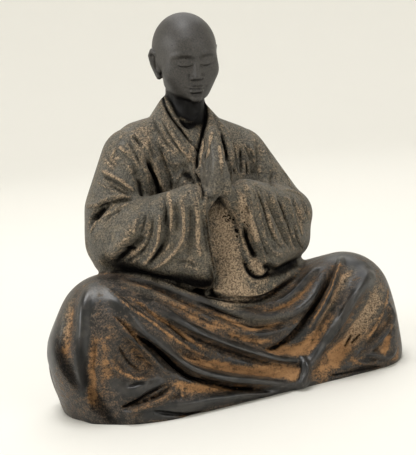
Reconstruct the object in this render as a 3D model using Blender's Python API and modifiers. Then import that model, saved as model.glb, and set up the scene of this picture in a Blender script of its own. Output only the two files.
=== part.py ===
"""A small cast figurine of a seated monk in a wide-sleeved robe, palms together, legs crossed under the cloth.

The whole figure is one casting with a flat underside. It is modelled the way a carver would: rounded masses
are fused into a skin, and the drapery is then worked into that skin with tapered strokes. Every place and
width is a share of the figure's height, so one value sets the size.
"""

from math import radians

import bmesh
import bpy
import numpy as np
from mathutils import Matrix, Vector
from mathutils.bvhtree import BVHTree

FIGURE_HEIGHT = 0.105

# One carver's unit is a hundredth of the height. All forms are in these units, and the figure faces -Y.
UNIT = FIGURE_HEIGHT / 100
FORM_VOXEL = 1.3
DETAIL_VOXEL = 0.6
CAST_VOXEL = 0.75
CAST_TRIANGLES = 9800
STROKE_STEP = 0.5
SETTLING = 12
PATINA_COLOUR = (0.045, 0.042, 0.038, 1)
PATINA_ROUGHNESS = 0.45


def ball_points(centre, radii, steps=3):
    """The points of a ball or an ellipsoid."""
    ball = bmesh.new()
    bmesh.ops.create_icosphere(ball, subdivisions=steps, radius=1.0)
    if not hasattr(radii, "__len__"):
        radii = (radii, radii, radii)
    bmesh.ops.scale(ball, vec=radii, verts=ball.verts)
    bmesh.ops.translate(ball, vec=centre, verts=ball.verts)
    points = [v.co.copy() for v in ball.verts]
    ball.free()
    return points


def stretched(*balls):
    """A closed shell pulled tight over several balls, as cloth is over limbs."""
    shell = bmesh.new()
    for centre, radii in balls:
        for point in ball_points(centre, radii):
            shell.verts.new(point)
    hull = bmesh.ops.convex_hull(shell, input=shell.verts)
    loose = {e for e in hull["geom_interior"] + hull["geom_unused"] if isinstance(e, bmesh.types.BMVert)}
    bmesh.ops.delete(shell, geom=list(loose), context="VERTS")
    mesh = bpy.data.meshes.new("shell")
    shell.to_mesh(mesh)
    shell.free()
    return mesh


def chain(*balls):
    """Shells stretched from each ball to the next, for a bent limb, a roll or a finger."""
    return [stretched(first, second) for first, second in zip(balls[:-1], balls[1:], strict=True)]


def shaped(mesh, *modifiers):
    """The mesh after some modifiers, each given as its name, its kind and its settings. The mesh is used up."""
    holder = bpy.data.objects.new("holder", mesh)
    bpy.context.scene.collection.objects.link(holder)
    for name, kind, settings in modifiers:
        modifier = holder.modifiers.new(name, kind)
        for setting, value in settings.items():
            setattr(modifier, setting, value)
    bpy.context.view_layer.update()
    graph = bpy.context.evaluated_depsgraph_get()
    result = bpy.data.meshes.new_from_object(holder.evaluated_get(graph))
    bpy.data.objects.remove(holder)
    bpy.data.meshes.remove(mesh)
    return result


def fused(meshes, voxel, smoothing):
    """One closed skin round overlapping meshes, softened where they meet. The meshes are used up."""
    heap = bmesh.new()
    for mesh in meshes:
        heap.from_mesh(mesh)
        bpy.data.meshes.remove(mesh)
    joined = bpy.data.meshes.new("joined")
    heap.to_mesh(joined)
    heap.free()
    skin = ("Skin", "REMESH", {"mode": "VOXEL", "voxel_size": voxel})
    soften = ("Soften", "SMOOTH", {"factor": 0.5, "iterations": smoothing})
    return shaped(joined, skin, soften)


def flowing(points, step=STROKE_STEP):
    """A smooth line through a few points, given as closely spaced points."""
    knots = [Vector(p) for p in points]
    knots = [2 * knots[0] - knots[1], *knots, 2 * knots[-1] - knots[-2]]
    line = []
    for a, b, c, d in zip(knots, knots[1:], knots[2:], knots[3:], strict=False):
        pieces = max(2, int((c - b).length / step))
        for piece in range(pieces):
            t = piece / pieces
            square = (2 * a - 5 * b + 4 * c - d) * t**2
            cube = (3 * b - a - 3 * c + d) * t**3
            line.append((2 * b + (c - a) * t + square + cube) / 2)
    line.append(knots[-2])
    return line


def fold(points, width, rise, lean=0.0, groove=0.0, ends=(0.0, 0.0)):
    """A stroke in the cloth. It drops more steeply on the right of its run where it leans, with a groove there."""
    return {"points": points, "width": width, "rise": rise, "lean": lean, "groove": groove, "ends": ends}


def fan(first, last, shares, **form):
    """Strokes spread between a first and a last one."""
    for share in shares:
        yield fold([Vector(a).lerp(Vector(b), share) for a, b in zip(first, last, strict=True)], **form)


def unit(rows):
    """Each row at a length of one."""
    return rows / np.linalg.norm(rows, axis=1, keepdims=True)


def laid_on(skin, stroke):
    """The stroke's line laid on the skin, with the way the skin faces at each of its points."""
    hits = [skin.find_nearest(point) for point in flowing(stroke["points"])]
    line = np.array([hit[0] for hit in hits])
    facing = np.array([hit[1] for hit in hits])
    for _ in range(SETTLING):
        line[1:-1] = (line[:-2] + 2 * line[1:-1] + line[2:]) / 4
        facing[1:-1] = (facing[:-2] + 2 * facing[1:-1] + facing[2:]) / 4
    return line, unit(facing)


def across_fold(side, stroke):
    """How high a fold stands at a distance to its left: a rounded crest, and the groove on its right."""
    width, lean = stroke["width"], stroke["lean"]
    flank = width * np.where(side < 0, 1 - lean, 1 + lean / 2)
    crest = (1 - np.clip(np.abs(side) / flank, 0, 1) ** 2) ** 2
    foot = np.abs(side + width * (1.25 - lean)) / (0.65 * width)
    return crest - stroke["groove"] * (1 - np.clip(foot, 0, 1) ** 2) ** 2


def along_fold(share, ends):
    """How a fold fades in and out along its run."""
    start = ends[0] + (1 - ends[0]) * np.clip(share / 0.3, 0, 1)
    finish = ends[1] + (1 - ends[1]) * np.clip((1 - share) / 0.3, 0, 1)
    return np.sin(start * np.pi / 2) * np.sin(finish * np.pi / 2)


def worked(mesh, strokes):
    """Raise and sink the skin along the strokes."""
    count = len(mesh.vertices)
    spots = np.empty(count * 3, dtype=np.float32)
    mesh.vertices.foreach_get("co", spots)
    spots = spots.reshape(-1, 3).astype(float)
    outward = np.empty(count * 3, dtype=np.float32)
    mesh.vertex_normals.foreach_get("vector", outward)
    outward = outward.reshape(-1, 3).astype(float)
    solid = bmesh.new()
    solid.from_mesh(mesh)
    skin = BVHTree.FromBMesh(solid)
    solid.free()
    lift = np.zeros((count, 3))
    for stroke in strokes:
        line, facing = laid_on(skin, stroke)
        reach = 2.2 * stroke["width"]
        near = np.all((spots > line.min(axis=0) - reach) & (spots < line.max(axis=0) + reach), axis=1)
        near = np.flatnonzero(near)
        gaps = spots[near, None, :] - line[None, :, :]
        closest = np.argmin(np.einsum("vsk,vsk->vs", gaps, gaps), axis=1)
        gap = gaps[np.arange(len(near)), closest]
        run = unit(np.gradient(line, axis=0))[closest]
        along = np.einsum("vk,vk->v", gap, run)
        gap -= np.clip(along, -STROKE_STEP, STROKE_STEP)[:, None] * run
        side = np.einsum("vk,vk->v", gap, unit(np.cross(facing[closest], run)))
        side = np.where(side < 0, -1, 1) * np.linalg.norm(gap, axis=1)
        same_way = np.clip(2 * np.einsum("vk,vk->v", outward[near], facing[closest]), 0, 1)
        height = across_fold(side, stroke) * along_fold(closest / (len(line) - 1), stroke["ends"])
        lift[near] += (stroke["rise"] * height * same_way)[:, None] * facing[closest]
    spots += lift
    mesh.vertices.foreach_set("co", spots.astype(np.float32).ravel())
    mesh.update()
    return mesh


# The legs: thighs and shins under stretched cloth, and the robe's hem spread on the ground.
KNEE_R = ((-31.3, -8.5, 22.5), 13.3)
CALF_R = ((-36.5, -9, 16.5), 11.8)
KNEE_L = ((36, -7.5, 18.2), 13.2)
CALF_L = ((41, -8, 12), 10)
LAP = ((0, -10.5, 14.5), 9.5)
HEM_RADII = (2.5, 2.5, 3.5)


def hem(*places):
    """Balls along the edge of the cloth on the ground."""
    return [((x, y, 1.5), HEM_RADII) for x, y in places]


def legs():
    front_right = hem((-39, -15.3), (-30, -21.3), (-15, -22.6), (3, -19.8))
    front_left = hem((-12, -21.5), (0, -20), (16, -17), (31, -16.5), (45, -14.5))
    edge = [(-42.5, -5), (-38, -15.5), (-27, -22), (-14, -22.6), (10, -19), (31, -16.5), (45, -14.5), (50, -7), (46, 6), (32, 17),
            (13, 22.5), (-8, 23), (-27, 18.5), (-39, 8), (-42.5, -5)]
    outline = hem(*[(spot.x, spot.y) for spot in flowing([(x, y, 0) for x, y in edge], step=3)])
    forms = [
        stretched(KNEE_R, CALF_R, ((-12, 10, 17), 12)),
        stretched(KNEE_L, CALF_L, ((12, 10, 15), 11)),
        stretched(KNEE_R, LAP),
        stretched(KNEE_L, LAP),
        stretched(((-14, 8, 14), 11), ((14, 8, 14), 11), ((0, -11, 14), 9)),
        stretched(((0, 11, 15), (25, 13, 15))),
        stretched(((-32, -9, 14), 11), ((0, -11, 12), 8.5), *front_right),
        stretched(((0, -11, 12), 8.5), ((37, -7, 12), 10), *front_left),
        stretched(CALF_L, *hem((31, -16), (45, -15), (50.5, -8), (49, 4))),
        stretched(CALF_R, *hem((-38, -14), (-43, -7), (-41, 4))),
        stretched(*outline),
    ]
    return fused(forms, FORM_VOXEL, 5)


def torso():
    forms = [
        stretched(((0, 7, 26), (18, 12, 10)), ((-1, 5, 50), (17, 12, 12))),
        stretched(((-17, 4, 61.5), (8, 8, 8)), ((11.5, 4, 59.5), (7.5, 8, 7.5)), ((-1.5, 4, 50), (17, 12, 10))),
        stretched(((-1.5, 4, 70), (7, 7, 3.5)), ((-16, 4, 64), 6.5), ((10.5, 4, 62.5), 6)),
        stretched(((-1.5, -5, 56), (8, 7, 6)), ((1, -4.5, 28), (9.5, 10, 6))),
        stretched(((-19, 5.5, 61), 7.5), ((12.5, 5.5, 59), 7.5), ((-25, 4, 42), 6), ((23, 4, 42), 6),
                  ((-20, 9, 26), 7), ((20, 9, 26), 7), ((0, 9, 45), (14, 9, 14))),
        stretched(((-1.5, 8, 73), (4, 4, 3)), ((-12, 7.5, 65), 5), ((8, 7.5, 64), 5), ((-1, 9, 50), (12, 8, 8))),
        stretched(((6.5, -13.5, 29), (6, 5, 4)), ((2, -12, 36), 4)),
    ]
    return fused(forms, FORM_VOXEL, 8)


def collar():
    """The crossed lapels: each is a band that stands round the neck and runs down to the crossing."""
    nape = (-1.5, 10, 77)
    inner_r = [nape, (-6.4, 6.5, 77.2), (-7.8, 0.5, 75), (-8, -4.5, 70.5), (-5.8, -8.2, 65.5), (-3, -9.2, 61)]
    inner_l = [nape, (2.8, 6.5, 77), (3.6, 0.5, 75.5), (3, -4.5, 71), (0.5, -8, 66), (-4.5, -8.8, 60.5)]
    back = (-1.5, 12.5, 71)
    outer_r = [back, (-9, 9.5, 71), (-11.5, 1, 69.5), (-11, -4, 65.5), (-8, -7, 61.5), (-4.5, -8.5, 58.5)]
    outer_l = [back, (5, 9.5, 71), (6.2, 1, 70.3), (6.6, -4.5, 66), (5.5, -7.5, 61), (3, -9, 57)]
    forms = []
    for inner, outer in ((inner_r, outer_r), (inner_l, outer_l)):
        for place in range(len(inner) - 1):
            edge = [(inner[place], 1.0), (inner[place + 1], 1.0)]
            foot = [(outer[place], 1.4), (outer[place + 1], 1.4)]
            forms.append(stretched(*edge, *foot))
    return fused(forms, DETAIL_VOXEL, 3)


def sleeve_r():
    forms = [
        stretched(((-18, 3, 61.5), 8.5), ((-24.5, 1.5, 50), 8.5), ((-26, 0, 42), 7.5)),
        stretched(((-25.5, -2, 42), 7.5), ((-9, -17, 52.5), 4.5)),
        stretched(((-25, -2, 40.5), 7), ((-26, -1, 44), 7), ((-9.5, -16.5, 52), 4.5), ((-7, -15, 32), 3.2),
                  ((-20, -8, 38), 4)),
    ]
    return fused(forms, FORM_VOXEL, 4)


def sleeve_l():
    forms = [
        stretched(((11.8, 4, 59.5), 7.8), ((18.7, 3, 50.5), 7.2), ((23.8, 2, 42.5), 7.2)),
        stretched(((23.5, -1, 43), 7.2), ((5.5, -16.5, 52), 4.5)),
        stretched(((22.8, 0, 37), 6.8), ((24, 1, 42), 7), ((5.5, -16, 51), 4.5), ((12.5, -14, 34.3), 3.2)),
        stretched(((2.5, -16.5, 53), 2), ((7.5, -15.2, 33.5), 1.9)),
    ]
    return fused(forms, FORM_VOXEL, 4)


# Each finger: how far forward it stands at the knuckle and at the tip, the height of its tip, its thickness.
FINGERS = ((-21.2, -19.8, 66.2, 1.0), (-19.1, -18.3, 68.8, 1.1), (-16.9, -16.7, 70.2, 1.15), (-14.7, -15, 69, 1.1))
PALMS_MIDDLE = -1.5


def hands():
    forms = []
    for side in (-1, 1):
        knuckle_x = PALMS_MIDDLE + side * 1.15
        wrist_x = PALMS_MIDDLE + side * 3.3
        forms.append(stretched(((knuckle_x, -20.9, 60), 1.2), ((knuckle_x, -14.6, 60), 1.3),
                               ((wrist_x, -19, 53), 1.8), ((wrist_x, -14.5, 53), 1.8)))
        for knuckle_y, tip_y, tip_z, thick in FINGERS:
            forms.append(stretched(((knuckle_x, knuckle_y, 60.5), thick),
                                   ((PALMS_MIDDLE + side * 0.8, tip_y, tip_z), thick * 0.72)))
        forms += chain(((wrist_x, -13.4, 54), 1.4), ((knuckle_x + side * 0.5, -12.2, 59), 1.15),
                       ((knuckle_x, -12.4, 63), 0.9))
    return fused(forms, 0.45, 2)


# The head is made upright about its own middle, then bowed and set on the neck. Its height is 23 units, and
# the features follow the usual canon: eyes half way up, and brow, nose and chin a third of the face apart.
HEAD_MIDDLE = Vector((-1.2, 2.3, 87.9))
HEAD_BOW = radians(11)
BROW, NOSE_FOOT, MOUTH, CHIN = 2.0, -4.6, -6.9, -11.2
EYE_OUT = 3.2


def ear(side):
    """An ear with a rolled rim, from the brow to the foot of the nose."""
    rim = [(7.7, 0.4, 0.4), (8.3, 0.5, 1.8), (8.9, 2.0, 2.3), (9.1, 3.2, 0.6), (8.7, 2.6, -1.8), (8.0, 1.3, -3.9),
           (7.7, 0.7, -4.7)]
    thick = (0.6, 0.7, 0.75, 0.75, 0.7, 0.75, 0.85)
    balls = [((side * x, y, z), r) for (x, y, z), r in zip(rim, thick, strict=True)]
    bowl = stretched(((side * 7.7, 1.6, 0.2), (0.7, 1.6, 2)), ((side * 7.4, 1.1, -2.8), (0.7, 0.8, 1)))
    return [*chain(*balls), bowl]


def head():
    skull = [
        stretched(((0, 1.6, 2.2), (8.5, 10.3, 9.4))),
        stretched(((0, -2.4, 2.4), (7.2, 6.8, 7)), ((-4.2, -3.6, -2.6), 3.6), ((4.2, -3.6, -2.6), 3.6),
                  ((-4.3, 0, -6.2), 2.8), ((4.3, 0, -6.2), 2.8), ((0, -6.2, -9.2), (2.4, 2.2, 2.0))),
        stretched(((0, 2.4, -1), (6.5, 8, 5)), ((0, 2.6, -9), (5.2, 5.4, 4))),
    ]
    mass = fused(skull, DETAIL_VOXEL, 8)
    features = [mass]
    features.append(stretched(((0, -8.7, BROW - 1), (0.8, 0.7, 0.9)), ((0, -10.9, NOSE_FOOT + 0.9), 0.95),
                              ((0, -8.6, NOSE_FOOT + 0.6), 0.9)))
    features.append(stretched(((0, -10.4, NOSE_FOOT + 0.7), (1, 0.9, 0.8)), ((-1.25, -9.3, NOSE_FOOT + 0.6), 0.75),
                              ((1.25, -9.3, NOSE_FOOT + 0.6), 0.75)))
    for side in (-1, 1):
        features.append(stretched(((side * EYE_OUT, -7.3, -0.4), (1.9, 1.4, 1.25))))
        features.append(stretched(((side * 0.7, -9.1, MOUTH + 0.45), (1.0, 0.75, 0.5)),
                                  ((side * 2.1, -8.3, MOUTH + 0.1), (0.5, 0.5, 0.3))))
        features += ear(side)
    features.append(stretched(((-0.8, -8.9, MOUTH - 0.65), (1.0, 0.75, 0.55)), ((0.8, -8.9, MOUTH - 0.65), (1, 0.75, 0.55))))
    face = fused(features, 0.4, 3)
    strokes = []
    for side in (-1, 1):
        eye_line = [(side * 1.5, -8.2, -0.9), (side * EYE_OUT, -8.7, -1.2), (side * 4.9, -7.6, -0.8)]
        brow_line = [(side * 1.3, -9, BROW), (side * 3.3, -9, BROW + 0.7), (side * 5.6, -7.2, BROW)]
        strokes.append(fold(eye_line, width=0.45, rise=-0.35))
        strokes.append(fold(brow_line, width=1.1, rise=0.35))
        strokes.append(fold([(side * 1.4, -8.3, 0.9), (side * EYE_OUT, -8.6, 1.2), (side * 5, -7.4, 0.8)], 0.9, -0.6))
    strokes.append(fold([(-2.5, -8.4, MOUTH), (0, -9.6, MOUTH - 0.1), (2.5, -8.4, MOUTH)], 0.45, -0.4))
    strokes.append(fold([(-1.6, -8, MOUTH - 1.7), (0, -8.4, MOUTH - 1.9), (1.6, -8, MOUTH - 1.7)], 0.8, -0.45))
    strokes.append(fold([(0, -9.4, MOUTH + 1.9), (0, -9.5, MOUTH + 1.1)], 0.45, -0.2, ends=(1, 1)))
    worked(face, strokes)
    face.transform(Matrix.Translation(HEAD_MIDDLE) @ Matrix.Rotation(HEAD_BOW, 4, "X"))
    return face


def neck():
    """The neck, as wide at the nape as the skull's foot."""
    return stretched(((-1.4, 3.6, 68), (5.8, 7, 4)), ((-1.3, 5.6, 80), (5.4, 5.4, 5)), ((-1.2, 2, 80), 4.4))


# The folds. The cloth hangs in loops between the knees, and each loop's lower flank is the steeper one.
LAP_FOLDS = [
    fold([(-19, -14.5, 31.5), (-12, -15.5, 27.5), (-3, -17, 23), (9, -19, 21), (21, -17, 25), (31, -12, 30)],
         width=2.6, rise=1.5, lean=0.2, groove=0.4),
    fold([(-21, -16, 30), (-9, -20, 21), (2, -20, 16), (10, -20, 16.5), (19, -19, 22.5), (27, -15, 28)],
         width=2.6, rise=1.2, lean=0.2, groove=0.4),
    fold([(-31, -17, 32), (-22, -19, 27), (-14, -20, 21.5), (-7, -20, 16), (1, -20.5, 11.5), (9, -21, 8.5),
          (17.5, -20.5, 6.5), (18.5, -20.5, 3.5)], width=1.9, rise=1.7, lean=0.3, groove=0.6),
    fold([(-34, -19, 29), (-27.5, -21, 23.5), (-21.5, -21, 17.5), (-17, -21, 12), (-11, -22, 8.5), (-2, -22, 5.5),
          (13, -21.5, 3)], width=1.8, rise=1.8, lean=0.4, groove=0.7),
    fold([(-33, -14, 34), (-27.5, -19, 29), (-21, -20.5, 23.5), (-14, -20.5, 17), (-6.5, -20.5, 11), (4, -21, 8)],
         width=0.9, rise=0.6),
    fold([(-36, -19, 29), (-30, -21, 25), (-25.5, -21, 19), (-21, -21, 13), (-16.5, -22, 9.5), (-9, -22, 7)],
         width=1.3, rise=1.0, lean=0.2),
    fold([(-30, -22.5, 3), (-17, -24, 2.5), (-5.5, -23, 2.2), (5, -22, 2), (15.5, -20.5, 2), (22, -19, 2)],
         width=1.7, rise=1.2, groove=0.3),
    fold([(-37, -19, 2.5), (-33.5, -21, 4.5), (-28.5, -22.5, 6), (-23.5, -22.5, 8), (-20.5, -21.5, 11)],
         width=1.0, rise=-1.0),
    fold([(-33, -21.5, 3), (-26, -22.5, 5), (-19.5, -22.5, 7.5)], width=1.2, rise=0.5),
    fold([(-34.5, -21, 20), (-32.5, -20.5, 14.5), (-29, -21, 11), (-24, -21.5, 10.5), (-20, -21.5, 12)],
         width=1.0, rise=0.8),
    fold([(-29, -21, 19), (-28, -21, 14)], width=3.2, rise=-0.9, ends=(0.6, 0.6)),
    # The black crease where the left thigh's cloth folds over the loops, and that fold's own edge.
    fold([(3, -20, 11), (9, -20, 12), (13, -20, 14), (17.5, -20, 17.5), (22, -19, 22), (27, -16, 27)],
         width=1.3, rise=-1.6),
    fold([(36, -10, 31), (30, -16, 27), (25, -19, 22), (21.5, -20, 18), (16, -20.5, 13)],
         width=1.6, rise=1.3, lean=0.45),
    fold([(40, -15, 27), (39, -19, 23.5), (34.5, -20.5, 19), (29.5, -20.5, 15), (25, -19.5, 10), (20.5, -20, 6.5),
          (16.5, -20.5, 2)], width=2.5, rise=1.5, ends=(0, 0.5)),
    fold([(43, -17, 22), (39, -19.5, 14), (32.5, -18.5, 7.5), (25.5, -19.5, 3)], width=2.8, rise=-1.2),
    fold([(47, -12, 24), (45, -16.5, 17), (40, -18.5, 11), (36, -18.5, 7)], width=1.1, rise=0.8),
    fold([(49, -11, 18), (46.5, -16, 13.5), (42, -18, 8), (37, -18.5, 5.2), (41, -18, 3.2), (47, -16, 2)],
         width=1.2, rise=1.2),
    fold([(22, -19.5, 2.5), (31, -18.5, 1.5), (38, -17.5, 1.2)], width=0.9, rise=-0.8),
]
KNEE_FOLDS = [
    fold([(-34.5, -9, 34.5), (-38.5, -16.5, 29), (-40, -19, 21.5), (-40, -18, 12), (-39, -17, 4)],
         width=2.2, rise=1.2),
    fold([(-40, -10, 31), (-44, -14, 24), (-45, -13, 15), (-43.5, -12, 5)], width=1.6, rise=-1.0),
    fold([(-36, -19.5, 26), (-36.5, -20.5, 18.5), (-36, -19.5, 6)], width=1.5, rise=-0.9),
]

# The sleeves: folds that hang from the forearms, the cuffs' rolled edges, the creases at the elbows.
SLEEVE_FOLDS = [
    *fan([(-21, -10, 53), (-22.5, -13, 47.5), (-24.5, -11.5, 43), (-28, -8.5, 38)],
         [(-8.5, -20, 55.5), (-8, -20, 46.5), (-9, -19, 39), (-11, -16.5, 31)],
         (0.08, 0.36, 0.6, 0.84), width=1.5, rise=1.1),
    fold([(-14, -17, 53), (-14.5, -18, 47), (-16.5, -15.5, 41), (-21, -12, 36)], width=1.1, rise=-0.9),
    fold([(-28, -4, 52), (-25, -7, 54), (-18.5, -9, 54), (-11, -6, 54.5)], width=1.2, rise=-1.2),
    fold([(-31, -3, 52), (-29.5, -5.5, 49.5)], width=1.6, rise=-1.8, ends=(0.5, 0.5)),
    fold([(-25.5, -7, 51.5), (-29.5, -5.5, 48.5), (-31.5, -5.5, 44), (-31, -5.5, 39)], width=1.6, rise=0.9),
    fold([(-22.5, -12, 45), (-26.5, -9.5, 40.5), (-29, -7.5, 37.5)], width=1.3, rise=-1.3),
    fold([(-4, -15.5, 28), (-4, -16, 34), (-5.5, -18.5, 42.5), (-6.5, -20, 50), (-7.5, -18.5, 57)],
         width=1.5, rise=1.1, lean=0.4, groove=0.8),
    fold([(2.5, -21.5, 57), (4.5, -20, 50), (7.5, -18.5, 41.5), (10.5, -16.5, 34), (12.5, -14, 30)],
         width=1.5, rise=1.0, lean=0.2, groove=0.4),
    fold([(6.5, -17, 44), (8.5, -16, 38), (9.8, -15, 33)], width=1.5, rise=-1.8, ends=(0.2, 0.6)),
    *fan([(7, -19, 55), (8.5, -20, 49.5), (10.5, -18.5, 42), (14, -16, 34)],
         [(19.5, -11, 49.5), (23, -10, 44.5), (25.5, -7, 39.5), (28, -3, 34)],
         (0.05, 0.38, 0.7, 0.98), width=1.5, rise=1.0),
    fold([(12, -16, 52), (15, -15, 45), (19, -12, 38), (23.5, -7, 31)], width=1.1, rise=-0.8),
]

# The chest: pleats from the shoulders that run down behind the forearms.
CHEST_FOLDS = [
    *fan([(-24, -1.5, 64), (-21.5, -5, 60), (-19.5, -6.5, 54.5)], [(-12, -3, 66), (-10, -5, 60), (-9, -7, 56)],
         (0.0, 0.4, 0.8), width=1.2, rise=-1.1, ends=(0, 1)),
    *fan([(-24, -1.5, 65), (-21.5, -5, 60), (-19.5, -6.5, 54.5)], [(-12, -3, 67), (-10, -5, 60), (-9, -7, 56)],
         (0.2, 0.6, 1.0), width=1.3, rise=0.8, ends=(0, 1)),
    fold([(-29, 0, 60), (-24.5, -5, 58), (-20.5, -7, 54)], width=1.1, rise=-0.9),
    *fan([(8, -0.5, 69), (8.5, -3.5, 62.5), (6, -5, 56)], [(16, -1, 65), (15.5, -3.5, 59), (14, -4, 54)],
         (0.0, 0.35, 0.68, 1.0), width=1.0, rise=-0.9, ends=(0, 1)),
    fold([(17, -1, 63), (19.5, -4, 56), (20, -6, 51)], width=1.2, rise=-0.7),
]

# The back, plainer: pleats from the shoulders, a bloused fold over the belt, and the skirt spread on the ground.
BACK_FOLDS = [
    *fan([(-17, 12, 62), (-20, 14, 50), (-21, 15, 38)], [(12, 12, 60), (16, 14, 49), (18, 15, 37)],
         (0.0, 0.26, 0.5, 0.74, 1.0), width=2.6, rise=1.0),
    fold([(-26, 9, 36), (-12, 17, 30), (0, 18, 28.5), (12, 17, 30), (25, 9, 35)], width=1.8, rise=-1.4, ends=(0.3, 0.3)),
    *fan([(-19, 15, 28), (-29, 17, 19), (-38, 12, 6)], [(18, 15, 28), (31, 16, 19), (42, 12, 6)],
         (0.0, 0.15, 0.3, 0.42, 0.55, 0.68, 0.84, 1.0), width=2.4, rise=1.2),
    *fan([(-30, 5, 56), (-32, 6, 46), (-30, 7, 37)], [(-22, 10, 58), (-26, 10, 46), (-26, 9, 36)],
         (0.2, 0.8), width=1.8, rise=0.9),
    *fan([(25, 5, 54), (30, 6, 45), (29, 7, 36)], [(18, 10, 56), (23, 10, 46), (24, 9, 36)],
         (0.2, 0.8), width=1.8, rise=0.9),
]
SIDE_FOLDS = [
    *fan([(-36, -3, 34), (-43, -4, 20), (-44, -5, 4)], [(-26, 12, 28), (-36, 13, 18), (-40, 9, 4)],
         (0.1, 0.45, 0.8), width=2.2, rise=1.1),
    *fan([(41, -4, 30), (49, -5, 17), (50, -4, 4)], [(27, 13, 26), (38, 13, 16), (43, 9, 4)],
         (0.1, 0.45, 0.8), width=2.2, rise=1.1),
]


def figure():
    masses = [legs(), torso(), collar(), sleeve_r(), sleeve_l(), neck(), hands(), head()]
    skin = fused(masses, CAST_VOXEL, 1)
    return worked(skin, LAP_FOLDS + KNEE_FOLDS + SLEEVE_FOLDS + CHEST_FOLDS + BACK_FOLDS + SIDE_FOLDS)


def cast(mesh):
    """The carved figure as a casting: one skin of few faces, standing on a flat underside, in metres."""
    soften = ("Soften", "SMOOTH", {"factor": 0.5, "iterations": 1})
    thin = ("Thin", "DECIMATE", {"ratio": CAST_TRIANGLES / (2 * len(mesh.polygons))})
    cleared = shaped(mesh, soften, thin)
    solid = bmesh.new()
    solid.from_mesh(cleared)
    bpy.data.meshes.remove(cleared)
    bmesh.ops.bisect_plane(solid, geom=solid.verts[:] + solid.edges[:] + solid.faces[:], dist=0.01,
                           plane_co=(0, 0, 0), plane_no=(0, 0, 1), clear_inner=True)
    rim = [edge for edge in solid.edges if edge.is_boundary]
    bmesh.ops.edgeloop_fill(solid, edges=rim)
    middle = [(min(v.co[axis] for v in solid.verts) + max(v.co[axis] for v in solid.verts)) / 2 for axis in (0, 1)]
    bmesh.ops.translate(solid, vec=(-middle[0], -middle[1], 0), verts=solid.verts)
    bmesh.ops.scale(solid, vec=(UNIT, UNIT, UNIT), verts=solid.verts)
    bmesh.ops.triangulate(solid, faces=[face for face in solid.faces if len(face.verts) > 3])
    bmesh.ops.recalc_face_normals(solid, faces=solid.faces)
    piece = bpy.data.meshes.new("monk_figurine")
    solid.to_mesh(piece)
    solid.free()
    return piece


def patina():
    """Cold-cast resin under a dark, softly polished patina."""
    finish = bpy.data.materials.new("dark patina")
    finish.use_nodes = True
    shader = finish.node_tree.nodes["Principled BSDF"]
    shader.inputs["Base Color"].default_value = PATINA_COLOUR
    shader.inputs["Roughness"].default_value = PATINA_ROUGHNESS
    shader.inputs["Metallic"].default_value = 0.0
    return finish


def main():
    for old in list(bpy.data.objects):
        bpy.data.objects.remove(old)
    monk = bpy.data.objects.new("monk_figurine", cast(figure()))
    monk.data.materials.append(patina())
    group = bpy.data.collections.new("monk figurine")
    bpy.context.scene.collection.children.link(group)
    group.objects.link(monk)


main()
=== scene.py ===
from math import cos, pi, radians, sin

import bmesh
import bpy
import numpy as np
from mathutils import Matrix, Vector, kdtree
from mathutils.bvhtree import BVHTree


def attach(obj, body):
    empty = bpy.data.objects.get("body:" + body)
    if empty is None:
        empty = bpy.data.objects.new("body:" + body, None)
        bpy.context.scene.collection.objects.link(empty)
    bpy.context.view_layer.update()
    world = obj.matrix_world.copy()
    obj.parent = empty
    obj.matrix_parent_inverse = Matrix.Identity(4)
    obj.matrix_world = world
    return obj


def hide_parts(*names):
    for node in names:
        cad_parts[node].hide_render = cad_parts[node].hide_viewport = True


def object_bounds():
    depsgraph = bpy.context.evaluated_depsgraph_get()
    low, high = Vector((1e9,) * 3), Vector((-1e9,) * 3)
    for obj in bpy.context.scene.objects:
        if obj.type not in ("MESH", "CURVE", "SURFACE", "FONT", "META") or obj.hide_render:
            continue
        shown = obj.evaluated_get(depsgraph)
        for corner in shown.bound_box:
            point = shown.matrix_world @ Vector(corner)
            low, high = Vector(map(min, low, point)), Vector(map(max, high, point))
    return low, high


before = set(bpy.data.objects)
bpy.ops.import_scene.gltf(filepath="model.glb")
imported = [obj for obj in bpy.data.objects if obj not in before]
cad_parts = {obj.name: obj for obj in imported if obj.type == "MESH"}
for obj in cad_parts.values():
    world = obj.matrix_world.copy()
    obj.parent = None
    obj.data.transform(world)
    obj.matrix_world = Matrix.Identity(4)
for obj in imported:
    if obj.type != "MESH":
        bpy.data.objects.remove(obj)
cad_low, cad_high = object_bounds()

# The figurine is one casting, so its parts are modelled as a carver's masses that run into each other.
# A carver's unit is a hundredth of the height asked for, and the crown stands a little under a hundred units.
# The figure faces -Y.
CROWN = 99.6
UNIT = (cad_high.z - cad_low.z) / CROWN

# The robe over the crossed legs: cloth pulled tight over both knees and spread on the ground as a hem.
# It was modelled in clay, so masses are rounded, and its folds are ridges and grooves worked into the skin.
KNEE_R = ((-31.3, -8.5, 22.5), 13.3)
CALF_R = ((-36.5, -9, 16.5), 11.8)
KNEE_L = ((36, -7.5, 18.2), 13.2)
CALF_L = ((41, -8, 12), 10)
LAP = ((0, -10.5, 14.5), 9.5)
HEM_RADII = (2.5, 2.5, 3.5)
HEM_MIDDLE = 1.5
CLAY_GRAIN = 1.0


def ball_points(centre, radii, steps=3):
    """The points of a ball or an ellipsoid."""
    ball = bmesh.new()
    bmesh.ops.create_icosphere(ball, subdivisions=steps, radius=1.0)
    if not hasattr(radii, "__len__"):
        radii = (radii, radii, radii)
    bmesh.ops.scale(ball, vec=radii, verts=ball.verts)
    bmesh.ops.translate(ball, vec=centre, verts=ball.verts)
    points = [v.co.copy() for v in ball.verts]
    ball.free()
    return points


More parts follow.
